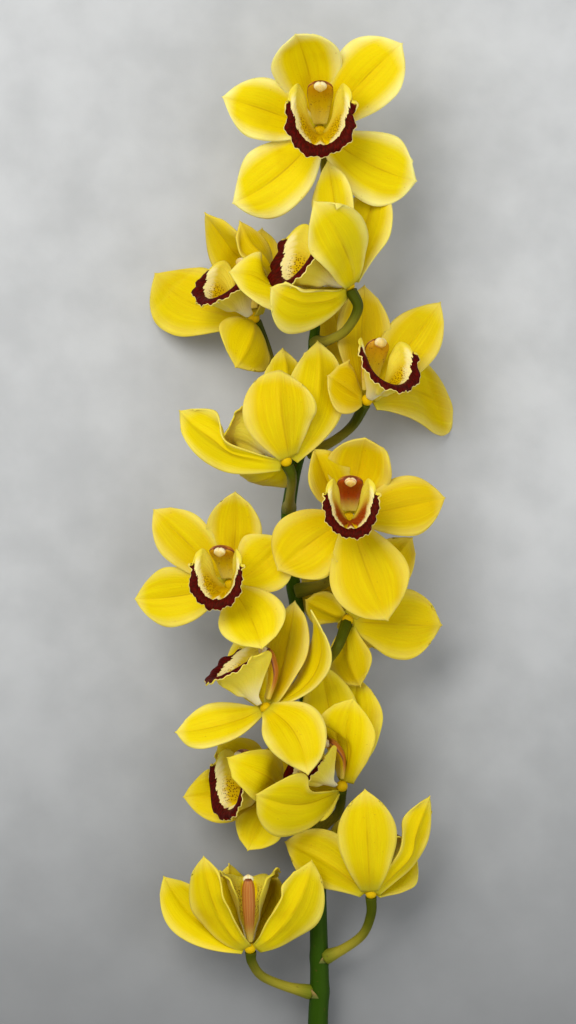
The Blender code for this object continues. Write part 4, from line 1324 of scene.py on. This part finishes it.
@dataclass(frozen=True)
class StemFinish:
    """A dark green stem, lighter at its tip, with olive to straw coloured stalks and fine grooves."""

    dark: Colour = (0.012, 0.040, 0.0)
    green: Colour = (0.040, 0.090, 0.0)
    olive: Colour = (0.050, 0.060, 0.0)
    straw: Colour = (0.30, 0.25, 0.02)
    groove: Colour = (0.006, 0.022, 0.0)
    scar: Colour = (0.10, 0.045, 0.012)

    def make(self) -> Material:
        """Builds the material."""
        mix = Recipe("green stem")
        is_stalk, along = mix.marks[:2]
        lines = mix.noise(1.0, 3.0, (46.0, 5.0))
        stalk = mix.layers(
            self.olive,
            (mix.step(along + mix.noise(38.0, 3.0) * 0.6, 1.15, 0.55), self.straw),
            (mix.step(along, 0.22, 0.0) * 0.6, self.green),
        )
        colour = mix.layers(
            self.dark,
            (mix.step(along, 0.1, 0.9) + lines * 0.25, self.green),
            (is_stalk, stalk),
            (mix.step(lines, 0.56, 0.7) * (0.5 - is_stalk * 0.3), self.groove),
            (mix.step(mix.noise(330.0, 2.0), 0.68, 0.74) * 0.5, self.scar),
        )
        height = lines * 0.8 + mix.noise(1100.0, 2.0) * 0.4
        sheen = {"Specular_IOR_Level": 0.16, "Specular_Tint": GREEN_SHEEN}
        return mix.finish(colour, 0.42 + mix.noise(260.0) * 0.15, height, 0.4, 0.6, **sheen)


@dataclass(frozen=True)
class ScaleFinish:
    """Dry, straw brown scales with darker tips."""

    straw: Colour = (0.30, 0.20, 0.05)
    brown: Colour = (0.12, 0.055, 0.015)
    green: Colour = (0.10, 0.12, 0.012)

    def make(self) -> Material:
        """Builds the material."""
        mix = Recipe("foot scale")
        fibre = mix.noise(1.0, 3.0, (40.0, 3.0))
        colour = mix.layers(
            self.green,
            (mix.step(mix.along, 0.1, 0.6), self.straw),
            (mix.step(mix.along, 0.6, 1.0), self.brown),
            (mix.step(fibre, 0.5, 0.7) * 0.5, self.brown),
        )
        height = fibre + mix.noise(1200.0) * 0.3
        return mix.finish(colour, 0.6 + fibre * 0.15, height, 0.3, 0.7, Specular_IOR_Level=0.3)


@dataclass(frozen=True)
class FloorFinish:
    """A plain pale grey floor with a barely seen mottle, and painted shade that darkens it towards the stem's
    cut end.
    """

    light: Colour = (0.52, 0.525, 0.525)
    deep: Colour = (0.43, 0.435, 0.435)
    # Painted shade that darkens the floor towards the stem's cut end, then where it starts and ends
    painted_shade: Colour = (0.15, 0.152, 0.152)
    painted_shade_from: float = 0.12
    painted_shade_to: float = -0.32

    def make(self) -> Material:
        """Builds the material."""
        mix = Recipe("pale floor")
        cloud = mix.noise(5.0, 4.0) * 0.6 + mix.noise(38.0, 4.0) * 0.4
        north = mix.split("ShaderNodeSeparateXYZ", mix.coordinates.outputs["Object"])[1]
        # Painted shade: the floor darkens towards the stem's cut end
        painted_shade = mix.step(north, self.painted_shade_from, self.painted_shade_to)
        colour = mix.layers(self.light, (mix.step(cloud, 0.35, 0.65), self.deep), (painted_shade, self.painted_shade))
        grain = mix.noise(900.0, 2.0)
        return mix.finish(colour, 0.75 + cloud * 0.1, grain, 0.1, 0.3, Specular_IOR_Level=0.25)


# The studio


@dataclass
class Studio:
    """The floor, the soft lights and the camera above the flowers."""

    floor_size: float = 6.0
    key_place: tuple = (-0.75, 0.95, 1.7)
    key_power: float = 32.0
    key_size: float = 1.3
    key_colour: Colour = (1.0, 0.985, 0.95)
    fill_place: tuple = (1.3, -0.5, 1.5)
    fill_power: float = 13.0
    fill_size: float = 1.8
    fill_colour: Colour = (0.95, 0.975, 1.0)
    glow: float = 0.57
    glow_colour: Colour = (0.93, 0.96, 1.0)
    farthest: float = 20.0

    def build(self) -> None:
        """Sets the whole studio."""
        deselect()
        bpy.ops.mesh.primitive_plane_add(size=self.floor_size)
        floor = bpy.context.active_object
        floor.name = "floor"
        dress(floor, FloorFinish().make())
        self.lamp("key_light", self.key_place, self.key_power, self.key_size, self.key_colour)
        self.lamp("fill_light", self.fill_place, self.fill_power, self.fill_size, self.fill_colour)
        world = bpy.data.worlds.new("studio")
        world.use_nodes = True
        sky = world.node_tree.nodes["Background"]
        sky.inputs["Color"].default_value = (*self.glow_colour, 1.0)
        sky.inputs["Strength"].default_value = self.glow
        bpy.context.scene.world = world
        bpy.context.scene.view_settings.view_transform = "Standard"
        self.camera()

    def lamp(self, name: str, spot: tuple, power: float, size: float, colour: Colour) -> None:
        """Hangs one square soft light that looks at the flowers."""
        deselect()
        bpy.ops.object.light_add(type="AREA", location=spot)
        lamp = bpy.context.active_object
        lamp.name = name
        lamp.data.energy = power
        lamp.data.size = size
        lamp.data.color = colour
        aim = bpy.context.scene.cursor.location - lamp.location
        lamp.rotation_euler = aim.to_track_quat("-Z", "Y").to_euler()

    def camera(self) -> None:
        """Hangs the camera straight above the plan's middle."""
        eye = place(*PLAN_MIDDLE, EYE_LEVEL)
        deselect()
        bpy.ops.object.camera_add(location=(eye[0] * MM, eye[1] * MM, (EYE_HEIGHT + EYE_LEVEL) * MM))
        camera = bpy.context.active_object
        camera.rotation_euler = (0.0, 0.0, 0.0)
        camera.data.sensor_fit = "AUTO"
        camera.data.sensor_width = SENSOR
        camera.data.lens = SENSOR * EYE_HEIGHT / (PLAN_HEIGHT * PLAN_UNIT)
        camera.data.clip_end = self.farthest
        bpy.context.scene.camera = camera


def main() -> None:
    """Builds and dresses every piece."""
    logging.basicConfig(level=logging.INFO, format="%(message)s")
    Studio().build()
    petals = TepalMaker(PetalFinish().make())
    lips = LipMaker(LipFinish(LipSide.INSIDE).make(), LipFinish(LipSide.OUTSIDE).make())
    columns = ColumnMaker(ColumnFinish().make(), CapFinish().make())
    stem = StemMaker(StemFinish().make())
    stem.make()
    ScaleMaker(ScaleFinish().make(), stem).make()
    for number, bloom in enumerate(BLOOMS, 1):
        petals.make(number, bloom)
        lips.make(number, bloom)
        columns.make(number, bloom)


if __name__ == "__main__":
    main()
